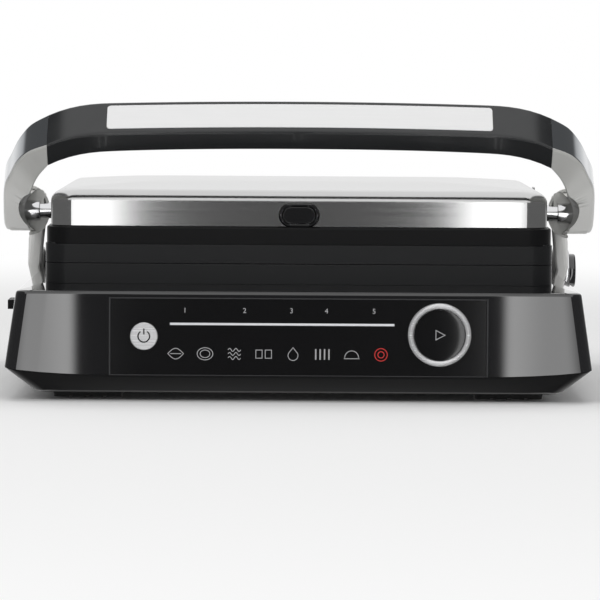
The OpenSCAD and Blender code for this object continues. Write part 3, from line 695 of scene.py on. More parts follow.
    @staticmethod
    def cut_cube(piece: bpy.types.Object, name: str, low: Point, high: Point) -> None:
        """Cuts a box out of a piece."""
        Bench.cut(piece, Bench.cube(name, low, high))

    @staticmethod
    def cut_rod(piece: bpy.types.Object, name: str, radius: float, centre: Point, length: float, axis: Axis,
                sides: int = 48) -> None:
        """Cuts a round bar out of a piece."""
        Bench.cut(piece, Bench.rod(name, radius, centre, length, axis, sides))

    @staticmethod
    def shell(piece: bpy.types.Object, wall: float) -> None:
        """Gives an open sheet a wall on its inner side."""
        Bench.modify(piece, "SOLIDIFY", thickness=wall * MM, offset=-1.0, use_even_offset=True)

    @staticmethod
    def soften(piece: bpy.types.Object, width: float, steps: int = 3, angle: float = 35.0) -> None:
        """Bevels the sharp edges.

        Args:
            piece: The object.
            width: Bevel width in millimetres.
            steps: Segments.
            angle: Smallest angle in degrees that counts as sharp.
        """
        Bench.modify(piece, "BEVEL", width=width * MM, segments=steps, limit_method="ANGLE",
                     angle_limit=math.radians(angle))

    @staticmethod
    def tidy(piece: bpy.types.Object, smooth_angle: float = 32.0) -> None:
        """Merges doubles, turns normals outward and shades by angle.

        Args:
            piece: The object.
            smooth_angle: Largest angle in degrees that is shaded smooth.
        """
        Bench.pick_all(piece)
        bpy.ops.mesh.remove_doubles(threshold=0.000002)
        bpy.ops.mesh.normals_make_consistent(inside=False)
        Bench.leave()
        bpy.ops.object.shade_smooth_by_angle(angle=math.radians(smooth_angle))
        Bench.modify(piece, "WEIGHTED_NORMAL", mode="FACE_AREA", weight=100, keep_sharp=True)

    @staticmethod
    def finish(piece: bpy.types.Object, width: float, steps: int = 3, angle: float = 35.0) -> None:
        """Softens a piece's edges and tidies it."""
        Bench.soften(piece, width, steps, angle)
        Bench.tidy(piece)

    @staticmethod
    def merge(pieces: Sequence[bpy.types.Object], name: str) -> bpy.types.Object:
        """Joins several objects into one mesh object.

        Args:
            pieces: The objects.
            name: Name of the result.

        Returns:
            The joined object.
        """
        Bench.clear()
        for piece in pieces:
            piece.select_set(True)
        bpy.context.view_layer.objects.active = pieces[0]
        if len(pieces) > 1:
            bpy.ops.object.join()
        return Bench.named(name)

    @staticmethod
    def sweep(name: str, rings: Sequence[Ring]) -> bpy.types.Object:
        """Extrudes a filled outline through a run of rings.

        Args:
            name: Name of the object.
            rings: Outlines with equally many points, in millimetres.

        Returns:
            A closed object.
        """
        Bench.clear()
        bpy.ops.mesh.primitive_circle_add(vertices=len(rings[0]), radius=MM, fill_type="NGON")
        piece = Bench.named(name)
        previous = [point * MM for point in rings[0]]
        for vertex, point in zip(piece.data.vertices, previous):
            vertex.co = point
        Bench.pick_faces(piece, lambda f: True)
        for ring in rings[1:]:
            Bench.extrude()
            edit = bmesh.from_edit_mesh(piece.data)
            for vertex in [v for v in edit.verts if v.select]:
                nearest = min(range(len(previous)), key=lambda i: (previous[i] - vertex.co).length_squared)
                vertex.co = ring[nearest] * MM
            bmesh.update_edit_mesh(piece.data)
            previous = [point * MM for point in ring]
        Bench.leave()
        return piece

    @staticmethod
    def mirrored(piece: bpy.types.Object, name: str) -> bpy.types.Object:
        """Copies a piece to the other side of the middle plane.

        Args:
            piece: The piece to copy.
            name: Name of the copy.

        Returns:
            The copy, with its own mesh and outward normals.
        """
        Bench.activate(piece)
        bpy.ops.object.duplicate()
        copy = Bench.named(name)
        copy.scale = (-1.0, 1.0, 1.0)
        Bench.settle(copy)
        Bench.tidy(copy)
        return copy


def soft_rect(width: float, height: float, radius: float, steps: int) -> list[tuple[float, float]]:
    """Points round a rectangle with round corners, from its low corner.

    Args:
        width: Size along the first direction.
        height: Size along the second direction.
        radius: Corner radius.
        steps: Segments of each corner.

    Returns:
        The points, anticlockwise.
    """
    corners = ((width - radius, height - radius, 0), (radius, height - radius, 90),
               (radius, radius, 180), (width - radius, radius, 270))
    points = []
    for cx, cy, start in corners:
        for step in range(steps + 1):
            angle = math.radians(start + 90 * step / steps)
            points.append((cx + radius * math.cos(angle), cy + radius * math.sin(angle)))
    return points


# ---------------------------------------------------------------- sub-assemblies


@dataclass
class SubAssembly:
    """What every sub-assembly shares: the wardrobe and the hand-over of finished pieces."""

    wardrobe: Wardrobe

    def hand_over(self, piece: bpy.types.Object, body: Body, look: Look, nodes: Sequence[str] = ()) -> None:
        """Dresses a finished piece, lets it ride and hides the frame's nodes that it stands for.

        Args:
            piece: The finished piece.
            body: The body it rides on.
            look: Its finish.
            nodes: The frame's nodes that it replaces.
        """
        Bench.clear()
        self.wardrobe.dress(piece, look)
        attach(piece, body.value)
        if nodes:
            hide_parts(*nodes)
        look.slot
        LOG.info("%s: %d faces on %s", piece.name, len(piece.data.polygons), body.value)

    def carry_over(self, node: str, name: str, width: float, steps: int, body: Body, look: Look) -> None:
        """Models a piece from a frame node's mesh with softened edges and hands it over.

        Args:
            node: Name of the node.
            name: Name of the new piece.
            width: Bevel width in millimetres.
            steps: Segments of the bevel.
            body: The body it rides on.
            look: Its finish.
        """
        source = FRAME["nodes"][node]
        copy = bpy.data.objects.new(name, source.data.copy())
        bpy.context.scene.collection.objects.link(copy)
        copy.data.transform(source.matrix_world)
        copy.data.materials.clear()
        Bench.pick_all(copy)
        bpy.ops.mesh.remove_doubles(threshold=0.00001)
        bpy.ops.mesh.dissolve_limited(angle_limit=math.radians(1.0))
        Bench.leave()
        Bench.finish(copy, width, steps)
        self.hand_over(copy, body, look, [node])


@dataclass
class BaseAssembly(SubAssembly):
    """The base: housing, lower cover, feet, lower plate, hinge covers and the grease tray."""

    half_width: float = 188.0
    front: float = -154.5
    rear: float = 158.0
    foot_height: float = 5.0
    seam: float = 16.7
    seam_rise: float = 4.5
    crest: float = 68.4
    deck: float = 72.7
    corner: float = 8.0
    wall: float = 2.8
    side_lean: float = 7.0
    rear_lean: float = 3.0
    shoulder: tuple[float, float] = (2.6, 2.4)
    shoulder_turn: float = 78.0
    wall_cuts: int = 24
    plates_y: float = 8.5
    plate_width: float = 330.0
    plate_depth: float = 240.0
    plate_height: float = 13.2
    panel_half: float = 120.0
    panel_z: tuple[float, float] = (17.3, 66.5)
    window_z: tuple[float, float] = (22.0, 62.0)
    drain_half: float = 34.0
    drain_y: tuple[float, float] = (130.5, 143.5)
    tray_half: float = 80.5
    tray_front: float = 144.0
    tray_top: float = 24.4
    bay_z: tuple[float, float] = (51.7, 80.0)
    hinge_bay: tuple[float, float] = (161.9, 128.7)
    arm_bay: tuple[float, float] = (181.0, 100.0)
    outside: tuple[float, float] = (200.0, 160.0)
    button_y: tuple[float, float] = (-107.1, -82.9)
    button_z: tuple[float, float] = (55.4, 61.6)
    gland: tuple[float, float] = (110.0, 40.0)
    gland_radius: float = 7.05
    cover_inset: float = 22.0
    screw_radius: float = 3.8
    screw_x: tuple[float, ...] = (-168.0, 168.0)
    screw_y: tuple[float, ...] = (-118.0, 108.0)
    foot: tuple[float, float] = (-136.0, -118.0)
    foot_low: tuple[float, float] = (44.0, 12.6)
    foot_high: tuple[float, float] = (46.0, 14.0)
    foot_lip: float = 1.2
    foot_steps: tuple[float, float] = (272.0, 236.0)
    groove_pitch: float = 11.0

    def build(self) -> None:
        """Builds and dresses all pieces of the base."""
        self.housing()
        self.cover()
        self.feet()
        self.lower_plate()
        self.carry_over("hinge_covers", "hinge_cover_caps", 0.8, 3, Body.BASE, Look.SATIN_BLACK)
        self.carry_over("drip_tray", "grease_tray", 0.7, 3, Body.TRAY, Look.SATIN_BLACK)
        self.plate_button()
        self.carry_over("cord_gland", "cord_inlet", 0.5, 3, Body.BASE, Look.RUBBER)

    @property
    def middle_y(self) -> float:
        """Middle of the base along Y."""
        return (self.front + self.rear) / 2

    def housing(self) -> None:
        """The glossy housing: a block grown through its shoulder to the deck, then cut open."""
        piece = Bench.pad("housing_shell", 2 * self.half_width, self.rear - self.front, self.corner,
                          self.seam, self.seam + 1, self.middle_y)
        Bench.divide_long(piece, self.wall_cuts)
        half, rear = self.half_width - self.side_lean, self.rear - self.rear_lean
        outlines = [(self.crest, half, self.front, rear)]
        for share in (0.25, 0.5, 0.75, 1.0):
            turn = math.radians(self.shoulder_turn * share)
            run, rise = self.shoulder[0] * (1 - math.cos(turn)), self.shoulder[1] * math.sin(turn)
            outlines.append((self.crest + rise, half - run, self.front + run * 0.9, rear - run))
        outlines.append((self.deck, self.plate_width / 2 + 1, self.plates_y - self.plate_depth / 2 - 1,
                         self.rear - 24))
        Bench.grow(piece, outlines)
        self.lift_seam(piece, self.seam + 20, self.seam + 1)
        for cutter in self.housing_cutters():
            Bench.cut(piece, cutter)
        Bench.finish(piece, 0.5, 2, 40)
        self.hand_over(piece, Body.BASE, Look.GLOSS_BLACK, ["base_housing"])

    def housing_cutters(self) -> Iterator[bpy.types.Object]:
        """The hollows, bays and bores of the housing, made one at a time.

        Returns:
            The cutters in the order in which they are used.
        """
        out_x, out_y = self.outside
        hollow_half, window_half = self.half_width - 12, self.panel_half - 5
        yield Bench.pad("well", self.plate_width - 18, self.plate_depth - 18, 14, self.seam + 3,
                        self.deck + 5, self.plates_y)
        yield Bench.cube("hollow", (-hollow_half, self.front + self.wall + 2, self.seam - 2),
                         (hollow_half, self.rear - 8, self.deck - 8))
        yield Bench.cube("panel_bay", (-self.panel_half, self.front - 1, self.panel_z[0]),
                         (self.panel_half, self.front + 2, self.panel_z[1]))
        yield Bench.cube("panel_window", (-window_half, self.front + 1, self.window_z[0]),
                         (window_half, self.front + 6, self.window_z[1]))
        yield Bench.cube("drain", (-self.drain_half, self.drain_y[0], self.deck - 12),
                         (self.drain_half, self.drain_y[1], self.deck + 2))
        yield Bench.cube("tray_bay", (-self.tray_half, self.tray_front, self.seam - 1),
                         (self.tray_half, out_y, self.tray_top))
        for side in (-1, 1):
            for inner, front in (self.hinge_bay, self.arm_bay):
                low, high = sorted((side * inner, side * out_x))
                yield Bench.cube("side_bay", (low, front, self.bay_z[0]), (high, out_y, self.bay_z[1]))
        yield Bench.cube("button_bay", (-self.half_width - 4, self.button_y[0], self.button_z[0]),
                         (-self.half_width + 18, self.button_y[1], self.button_z[1]))
        yield Bench.rod("inlet_bay", self.gland_radius, (self.gland[0], self.rear - 6, self.gland[1]), 16,
                        Axis.Y, 48)

    def lift_seam(self, piece: bpy.types.Object, still: float, full: float) -> None:
        """Lifts the seam between housing and cover towards the corners of the base.

        Args:
            piece: The housing or the cover.
            still: Height at which nothing moves.
            full: Height from which on the whole rise applies, on the seam's side.
        """
        for vertex in piece.data.vertices:
            share = min(1.0, max(0.0, (vertex.co.z / MM - still) / (full - still)))
            vertex.co.z += self.seam_rise * MM * share * abs(vertex.co.x / MM / self.half_width) ** 6

    def cover(self) -> None:
        """The lower cover with its slanted edge, hollow above, with vents and screw wells."""
        foot, seam, inset = self.foot_height, self.seam, self.cover_inset
        piece = Bench.pad("lower_cover", 2 * (self.half_width - inset), self.rear - self.front - 24,
                          self.corner, foot, foot + 0.2, self.middle_y)
        Bench.divide_long(piece, self.wall_cuts)
        edge = ((foot + 0.8, inset - 1.6, 11, 11), (foot + 1.5, inset - 4, 9, 9), (seam - 1.4, 2.2, 0.9, 0.9),
                (seam - 0.5, 1.0, 0.4, 0.4), (seam - 0.05, 0.9, 0.5, 0.4))
        Bench.grow(piece, [(z, self.half_width - side, self.front + fore, self.rear - aft)
                           for z, side, fore, aft in edge])
        self.lift_seam(piece, foot + 1.5, seam - 1.4)
        Bench.cut(piece, Bench.pad("cover_hollow", 2 * (self.half_width - inset - 1),
                                   self.rear - self.front - 30, 12, foot + self.wall, seam + 7,
                                   self.middle_y))
        Bench.cut_cube(piece, "tray_bay", (-self.tray_half, self.tray_front, foot + self.wall),
                       (self.tray_half, self.outside[1], seam + 1))
        for index in range(-4, 5):
            Bench.cut(piece, Bench.pad("vent", 5, 40, 2.4, 0, 9, -40, index * 12, 4))
        for x in self.screw_x:
            for y in self.screw_y:
                Bench.cut_rod(piece, "screw_well", self.screw_radius, (x, y, 4), 14, Axis.Z, 32)
        Bench.finish(piece, 0.35, 2, 40)
        self.hand_over(piece, Body.BASE, Look.SATIN_BLACK, ["bottom_cover"])

    def feet(self) -> None:
        """Four rubber feet, each a tapered pad with three grooves, modelled once and copied."""
        (x, y), (wide, deep) = self.foot, self.foot_low
        first = Bench.pad("foot", wide, deep, 5, 0, self.foot_lip, y, x, 6)
        Bench.pick_faces(first, lambda f: f.normal.z > UPRIGHT)
        Bench.extrude(z=(self.foot_height - self.foot_lip) * MM)
        Bench.resize(self.foot_high[0] / wide, self.foot_high[1] / deep,
                     (x * MM, y * MM, self.foot_height * MM))
        Bench.leave()
        for index in (-1, 0, 1):
            middle = x + index * self.groove_pitch
            Bench.cut_cube(first, "groove", (middle - 1, y - 12, -1), (middle + 1, y + 12, 0.6))
        Bench.soften(first, 0.4, 2)
        feet = [first]
        step_x, step_y = self.foot_steps
        for dx, dy in ((step_x, 0), (0, step_y), (step_x, step_y)):
            Bench.activate(first)
            bpy.ops.object.duplicate()
            copy = bpy.context.object
            copy.location = (dx * MM, dy * MM, 0.0)
            Bench.settle(copy)
            feet.append(copy)
        piece = Bench.merge(feet, "foot_pads")
        Bench.tidy(piece)
        self.hand_over(piece, Body.BASE, Look.RUBBER, ["rubber_feet"])

    def lower_plate(self) -> None:
        """The lower cooking plate, ribs up, with its drain lip at the rear."""
        piece = CookingPlate(self.plate_width, self.plate_depth,
                             self.plate_height).model("lower_cooking_plate")
        rear = self.plate_depth / 2
        Bench.cut_cube(piece, "drain_lip", (-30, rear - 7, 6.8), (30, rear + 1, 16))
        Bench.finish(piece, 0.5, 2, 40)
        piece.location = (0.0, self.plates_y * MM, self.deck * MM)
        Bench.settle(piece)
        self.hand_over(piece, Body.BASE, Look.PLATE, ["lower_plate"])

    def plate_button(self) -> None:
        """The lower plate's release button with three grip grooves."""
        low, high = (tuple(c / MM for c in corner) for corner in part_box("lower_button"))
        piece = Bench.cube("lower_release_key", low, high)
        for index in (-1, 0, 1):
            y = (low[1] + high[1]) / 2 + index * 5
            Bench.cut_cube(piece, "grip", (low[0] - 1, y - 0.6, low[2] - 1),
                           (low[0] + 0.6, y + 0.6, high[2] + 1))
        Bench.finish(piece, 0.7)
        self.hand_over(piece, Body.LOWER_KEY, Look.SATIN_BLACK, ["lower_button"])


@dataclass
class CookingPlate:
    """One ribbed cooking plate, modelled with its underside on the ground plane and ribs up."""

    width: float
    depth: float
    height: float
    corner: float = 14.0
    rim: float = 6.0
    rim_drop: float = 3.0
    slant: tuple[float, float] = (0.985, 0.98)
    floor: float = 4.0
    skirt: float = 13.0
    rib_height: float = 3.4
    rib_width: float = 5.0
    rib_pitch: float = 13.0
    rib_slant: tuple[float, float] = (0.62, 0.99)

    def model(self, name: str) -> bpy.types.Object:
        """Models the plate.

        Args:
            name: Name of the object.

        Returns:
            The plate.
        """
        sunk = self.height - self.rib_height - self.rim_drop
        crest = sunk + self.rib_height
        piece = Bench.pad(name, self.width, self.depth, self.corner, 0, self.height)
        Bench.pick_faces(piece, lambda f: f.normal.z > UPRIGHT)
        bpy.ops.mesh.inset(thickness=self.rim * MM)
        Bench.extrude(z=(sunk - self.height) * MM)
        Bench.resize(*self.slant, (0.0, 0.0, sunk * MM))
        Bench.leave()
        Bench.pick_faces(piece, lambda f: f.normal.z < -UPRIGHT)
        bpy.ops.mesh.inset(thickness=self.skirt * MM)
        Bench.extrude(z=(sunk - self.floor) * MM)
        Bench.leave()
        count = int((self.width / 2 - self.rim - 8) // self.rib_pitch)
        reach = self.depth / 2 - self.rim - 9
        for index in range(-count, count + 1):
            x = index * self.rib_pitch
            rib = Bench.pad("rib", self.rib_width, 2 * reach, self.rib_width / 2 - 0.1, sunk - 0.6, crest, 0,
                            x, 5)
            Bench.pick_faces(rib, lambda f: f.normal.z > UPRIGHT)
            Bench.resize(*self.rib_slant, (x * MM, 0.0, crest * MM))
            Bench.leave()
            Bench.cut(piece, rib, join=True)
        return piece


@dataclass
class LidAssembly(SubAssembly):
    """The floating lid: brushed shell, black frame, upper plate, plate button and tilt stop."""

    half_width: float = 161.7
    depth: float = 235.0
    middle_y: float = 8.5
    frame_low: float = 98.4
    frame_top: float = 110.0
    frame_reach: float = 2.6
    frame_opening: tuple[float, float] = (282.0, 196.0)
    seat: tuple[float, float] = (324.0, 234.0)
    seat_corner: float = 14.0
    side: float = 16.0
    crown: float = 11.5
    crown_run: float = 70.0
    shoulder: tuple[float, float] = (10.5, 7.9)
    shoulder_turn: float = 78.0
    shoulder_steps: int = 7
    corner: float = 14.0
    wall: float = 1.2
    wall_cuts: int = 24
    bulge: float = 0.0059
    oval_width: float = 25.6
    oval_height: float = 15.0
    bezel_band: float = 1.7
    pin: tuple[float, float] = (7.0, 115.0)
    pin_hole: float = 6.0
    block_x: tuple[float, float] = (149.7, 159.6)
    block_bore: float = 8.0
    plate: tuple[float, float, float] = (330.0, 240.0, 13.2)

    def build(self) -> None:
        """Builds and dresses all pieces of the lid."""
        self.shell()
        self.frame()
        self.upper_plate()
        self.bezel()
        self.button()
        self.carry_over("tilt_stop", "tilt_stop_tab", 0.3, 2, Body.LID, Look.STEEL)

    @property
    def front(self) -> float:
        """Front of the lid's side wall."""
        return self.middle_y - self.depth / 2

    @property
    def rear(self) -> float:
        """Rear of the lid's side wall."""
        return self.middle_y + self.depth / 2

    @property
    def oval_z(self) -> float:
        """Height of the plate button's middle."""
        return self.frame_top + self.side / 2 - 0.4

    def stadium(self, name: str, width: float, height: float,
                places: Sequence[tuple[float, float]]) -> bpy.types.Object:
        """A body with a stadium outline that is swept along Y.

        Args:
            name: Name of the object.
            width: Outline's width.
            height: Outline's height.
            places: Place along Y and inset of each ring, from the rear.

        Returns:
            The body.
        """
        outline = soft_rect(width, height, height / 2 - 0.01, 12)
        rings = []
        for y, inset in places:
            scale_x, scale_z = (width - 2 * inset) / width, (height - 2 * inset) / height
            rings.append([Vector(((x - width / 2) * scale_x, y, self.oval_z + (z - height / 2) * scale_z))
                          for x, z in outline])
        return Bench.sweep(name, rings)

    def bow(self, piece: bpy.types.Object) -> None:
        """Bows the lid's long walls a little in plan, so that they stand proud in the middle.

        Args:
            piece: The lid's shell.
        """
        middle = self.middle_y * MM
        for vertex in piece.data.vertices:
            share = vertex.co.x / (self.half_width * MM)
            vertex.co.y = middle + (vertex.co.y - middle) * (1 - self.bulge * share * share)

    def shell(self) -> None:
        """The brushed steel shell: a block grown through a round shoulder to a low crown."""
        high = self.frame_top + self.side
        piece = Bench.pad("steel_lid", 2 * self.half_width, self.depth, self.corner, self.frame_top + 0.05,
                          high, self.middle_y, steps=12)
        outlines = []
        for step in range(1, self.shoulder_steps + 1):
            turn = math.radians(self.shoulder_turn * step / self.shoulder_steps)
            outlines.append((high + self.shoulder[1] * math.sin(turn),
                             self.shoulder[0] * (1 - math.cos(turn))))
        (start, inner), top = outlines[-1], high + self.crown - 0.05
        for share in (0.12, 0.3, 0.55, 0.8, 1.0):
            ease = math.sin(math.radians(90 * share))
            outlines.append((start + (top - start) * ease, inner + self.crown_run * share))
        Bench.divide_long(piece, self.wall_cuts)
        Bench.grow(piece, [(z, self.half_width - inset, self.front + inset, self.rear - inset)
                           for z, inset in outlines])
        self.bow(piece)
        Bench.pick_faces(piece, lambda f: f.normal.z < -UPRIGHT)
        bpy.ops.mesh.delete(type="FACE")
        Bench.leave()
        Bench.shell(piece, self.wall)
        Bench.soften(piece, 0.35, 2, 50)
        Bench.cut(piece, self.stadium("oval_hole", self.oval_width + 1, self.oval_height + 0.9,
                                      ((self.front + 5, 0.0), (self.front - 5, 0.0))))
        for side in (-1, 1):
            Bench.cut_rod(piece, "pin_hole", self.pin_hole, (side * (self.half_width - 0.7), *self.pin), 12,
                          Axis.X)
        Bench.tidy(piece, 40)
        self.hand_over(piece, Body.LID, Look.BRUSHED, ["lid_shell"])

    def frame(self) -> None:
        """The black frame between the steel lid and the upper plate."""
        middle = self.middle_y
        half, depth = self.half_width + self.frame_reach, self.depth / 2 + self.frame_reach
        piece = Bench.pad("lid_surround", 2 * half, 2 * depth, self.corner + 2, self.frame_low,
                          self.frame_low + 0.6, middle, steps=12)
        Bench.grow(piece, [(self.frame_top - drop, half - inset, middle - depth + inset,
                            middle + depth - inset)
                           for drop, inset in ((1.6, 0.0), (0.7, 0.4), (0.1, 1.3))])
        for name, size, top in (("frame_opening", self.frame_opening, self.frame_top + 2),
                                ("plate_seat", self.seat, self.frame_low + 1.03)):
            Bench.cut(piece, Bench.pad(name, *size, self.seat_corner, self.frame_low - 1, top, middle))
        Bench.cut_cube(piece, "oval_bay", (-self.oval_width / 2 - 1, self.front - 1, self.frame_top - 2),
                       (self.oval_width / 2 + 1, self.front + 12, self.frame_top + 1))
        Bench.soften(piece, 0.3, 2, 45)
        y, z = self.pin
        for side in (-1, 1):
            low, high = sorted(side * x for x in self.block_x)
            post = Bench.cube("pin_block", (low, y - 11, self.frame_top - 2), (high, y + 11, z + 9))
            Bench.cut_rod(post, "pin_bore", self.block_bore, (side * 155, y, z), 24, Axis.X)
            Bench.soften(post, 0.5, 2)
            piece = Bench.merge([piece, post], "lid_surround")
        Bench.tidy(piece)
        self.hand_over(piece, Body.LID, Look.SATIN_BLACK, ["lid_frame"])

    def upper_plate(self) -> None:
        """The upper cooking plate, ribs down, its edge stepped to sit in the frame."""
        piece = CookingPlate(*self.plate).model("upper_cooking_plate")
        seat_y, seat_x, out_y, out_x = self.seat[1] / 2 - 0.2, self.seat[0] / 2 - 0.2, 130, 200
        for low, high in (((-out_x, -out_y), (out_x, -seat_y)), ((-out_x, seat_y), (out_x, out_y)),
                          ((-out_x, -out_y), (-seat_x, out_y)), ((seat_x, -out_y), (out_x, out_y))):
            Bench.cut_cube(piece, "seat", (*low, -1), (*high, 1.0))
        Bench.soften(piece, 0.5, 2, 40)
        piece.scale = (1.0, 1.0, -1.0)
        piece.location = (0.0, self.middle_y * MM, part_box("upper_plate")[1][2])
        Bench.settle(piece)
        Bench.tidy(piece)
        self.hand_over(piece, Body.LID, Look.PLATE, ["upper_plate"])

    def bezel(self) -> None:
        """The ring round the upper plate's release button."""
        back, lip, band = self.front + 6, self.front - 0.6, self.bezel_band
        piece = self.stadium("oval_surround", self.oval_width + 0.4, self.oval_height + 0.4,
                             ((back, 0.0), (lip + 0.5, 0.0), (lip, 0.5), (lip, band), (lip + 0.5, band + 0.4),
                              (back, band + 0.4)))
        Bench.pick_faces(piece, lambda f: abs(f.center.y - back * MM) < 1e-6)
        bpy.ops.mesh.delete(type="FACE")
        Bench.leave()
        Bench.pick_edges(piece, lambda a, b: abs(a.y - back) < SAME and abs(b.y - back) < SAME)
        bpy.ops.mesh.bridge_edge_loops()
        Bench.leave()
        Bench.finish(piece, 0.3, 3, 50)
        self.hand_over(piece, Body.LID, Look.GLOSS_BLACK, ["oval_bezel"])

    def button(self) -> None:
        """The upper plate's release button: a stadium with a round edge."""
        lip, play = self.front - 0.9, 4.4
        piece = self.stadium("upper_release_key", self.oval_width - play, self.oval_height - play,
                             ((self.front + 5.5, 0.0), (lip + 0.5, 0.0), (lip + 0.12, 0.14), (lip, 0.5)))
        Bench.tidy(piece, 50)
        self.hand_over(piece, Body.UPPER_KEY, Look.GLOSS_BLACK, ["upper_button"])


@dataclass
class ArmAssembly(SubAssembly):
    """The U-shaped handle: centre bar, inlay, two castings, pivot pins and hinge parts."""

    half_width: float = 199.0
    seam: float = 161.0
    front: float = -153.0
    handle_top: float = 192.0
    edge_lift: float = 0.43
    droop: float = 9.7
    sag: float = 0.3
    straight: float = 0.745
    face: float = 27.6
    tilt: float = 46.0
    rounding: float = 2.0
    pivot: tuple[float, float] = (7.0, 115.0)
    hinge: tuple[float, float] = (142.0, 68.0)
    hub: float = 14.0
    hub_inner: float = 173.0
    mouth: float = 16.3
    cup_r: float = 17.0
    cup_x: float = 183.0
    cup_reach: float = 14.0
    cup_wall: float = 1.7
    strut_in: float = 181.5
    strut: float = 9.0
    disc: float = 14.7
    # Pins, bore and seat: radius, middle along X and length.
    pin_big: tuple[float, float, float] = (7.16, 181.1, 11.0)
    pin_small: tuple[float, float, float] = (5.5, 162.2, 29.0)
    shaft_bore: tuple[float, float, float] = (6.05, 186.0, 12.0)
    cap_seat: tuple[float, float, float] = (7.6, 191.0, 3.6)
    inlay_half: float = 123.0
    inlay_width: float = 20.0
    inlay_corner: float = 2.2
    substeps: int = 6
    # Stations of the casting: shares of the way out, back and down, tilt, then the front face's three parts.
    course: tuple[tuple[float, ...], ...] = (
        (0, 0, 0, 46, 0, 11, 13.8), (0.31, 0.03, 0.07, 41, 6.3, 13, 15.3),
        (0.53, 0.095, 0.18, 36, 10.5, 13, 14.5), (0.68, 0.2, 0.32, 36, 13, 13, 12),
        (0.82, 0.335, 0.47, 38, 15, 8, 8.5), (0.93, 0.64, 0.73, 52, 16.5, 4, 4.5),
        (1, 0.905, 0.94, 62, 17.4, 0.5, 1.5), (1, 1, 1, 71, 17.5, 0, 0))

    def build(self) -> None:
        """Builds and dresses all pieces of the handle and arms."""
        self.bar()
        self.inlay()
        self.castings()
        self.pins()
        self.carry_over("hinge_collar", "release_collar", 0.6, 3, Body.ARMS, Look.CHROME)
        self.carry_over("hinge_button", "release_cap", 1.2, 4, Body.HINGE_KEY, Look.GLOSS_BLACK)

    @property
    def edge_z(self) -> float:
        """Height of the bar's lower outer edge at its middle."""
        return self.handle_top - self.face * math.sin(math.radians(self.tilt)) + self.edge_lift

    def bend(self, x: float) -> float:
        """How far the bar hangs below its middle.

        Args:
            x: Place along the bar.

        Returns:
            The drop.
        """
        share = abs(x) / self.seam
        past = max(0.0, (share - self.straight) / (1 - self.straight))
        return self.droop * (self.sag * share * share + (1 - self.sag) * past ** 2.5)

    def ring(self, edge: Vector, broad: Vector, front: Vector) -> Ring:
        """Outline of the bar from its lower outer edge.

        Args:
            edge: The lower outer edge.
            broad: The broad face as a vector from that edge.
            front: The front face as a vector from that edge.

        Returns:
            The outline's points.
        """
        across, along = front.length, broad.length
        return [edge + front * (u / across) + broad * (v / along)
                for u, v in soft_rect(across, along, self.rounding, 6)]

    def bar_frame(self, x: float) -> tuple[Vector, Vector, Vector]:
        """Shape of the bar at a place along it.

        Args:
            x: Place along the bar.

        Returns:
            Its lower outer edge, and its broad and front faces as vectors.
        """
        share = abs(x) / self.seam
        tilt = math.radians(self.tilt)
        edge = Vector((x, self.front + 2 * share, self.edge_z - self.bend(x)))
        broad = Vector((0, self.face * math.cos(tilt), self.face * math.sin(tilt)))
        return edge, broad, Vector((0, 11, -12 - 1.8 * share ** 4))

    def corner_frame(self, station: Sequence[float]) -> tuple[Vector, Vector, Vector]:
        """Shape of the casting at a station of its course.

        Args:
            station: The shares of the way out, back and down, the tilt, and the front face.

        Returns:
            Its lower outer edge, and its broad and front faces as vectors.
        """
        out, back, down, tilt, inward, deep, fall = station
        start = self.edge_z - self.droop
        broad = self.face - 3 * math.sin(math.pi * min(1, 2 * back)) - 3.3 * back ** 3
        edge = Vector((self.seam + (self.half_width - self.seam) * min(1, out),
                       self.front + 2 + (self.pivot[0] - self.front - 2) * back,
                       start - (start - self.pivot[1] + self.hub - 0.8) * down))
        turn = math.radians(tilt)
        face = Vector((0, broad * math.cos(turn), broad * math.sin(turn)))
        return edge, face, Vector((-inward, deep, -fall))

    def station(self, place: float) -> list[float]:
        """Smooth values of the course between its stations.

        Args:
            place: Number of the station, with its share of the way to the next.

        Returns:
            The values.
        """
        index = min(int(place), len(self.course) - 2)
        t = place - index
        before, here = self.course[max(index - 1, 0)], self.course[index]
        after, beyond = self.course[index + 1], self.course[min(index + 2, len(self.course) - 1)]
        return [0.5 * (2 * b + (c - a) * t + (2 * a - 5 * b + 4 * c - d) * t * t
                       + (3 * b - a - 3 * c + d) * t ** 3)
                for a, b, c, d in zip(before, here, after, beyond)]

    def bar(self) -> None:
        """The black centre bar between the two seams."""
        count = 48
        places = [-self.seam + 0.15 + (2 * self.seam - 0.3) * i / count for i in range(count + 1)]
        piece = Bench.sweep("handle_grip", [self.ring(*self.bar_frame(x)) for x in places])
        Bench.tidy(piece, 50)
        self.hand_over(piece, Body.ARMS, Look.HANDLE_BLACK, ["handle_bar"])

    def inlay(self) -> None:
        """The pale strip that lies in the bar's broad face, bent with the bar."""
        half, width, corner = self.inlay_half, self.inlay_width, self.inlay_corner
        near = [half - corner * (1 - math.cos(math.radians(15 * step))) for step in range(7)]
        places = sorted([-x for x in near] + near + [(half - corner) * (i / 20 - 1) for i in range(1, 40)])
        rings = []
        for x in places:
            end = half - abs(x)
            trim = corner - math.sqrt(max(0.0, corner ** 2 - (corner - end) ** 2)) if end < corner else 0.0
            edge, broad, _ = self.bar_frame(x)
            along = broad.normalized()
            out = Vector((0, -along.z, along.y))
            low, high = (self.face - width) / 2 + trim, (self.face + width) / 2 - trim
            rings.append([edge + along * a + out * b for a, b in
                          ((low, 0.0), (high, 0.0), (high, 0.35), (high - 0.25, 0.5), (low + 0.25, 0.5),
                           (low, 0.35))])
        piece = Bench.sweep("name_strip_bare", rings)
        Bench.tidy(piece, 40)
        self.hand_over(piece, Body.ARMS, Look.INLAY, ["handle_inlay"])

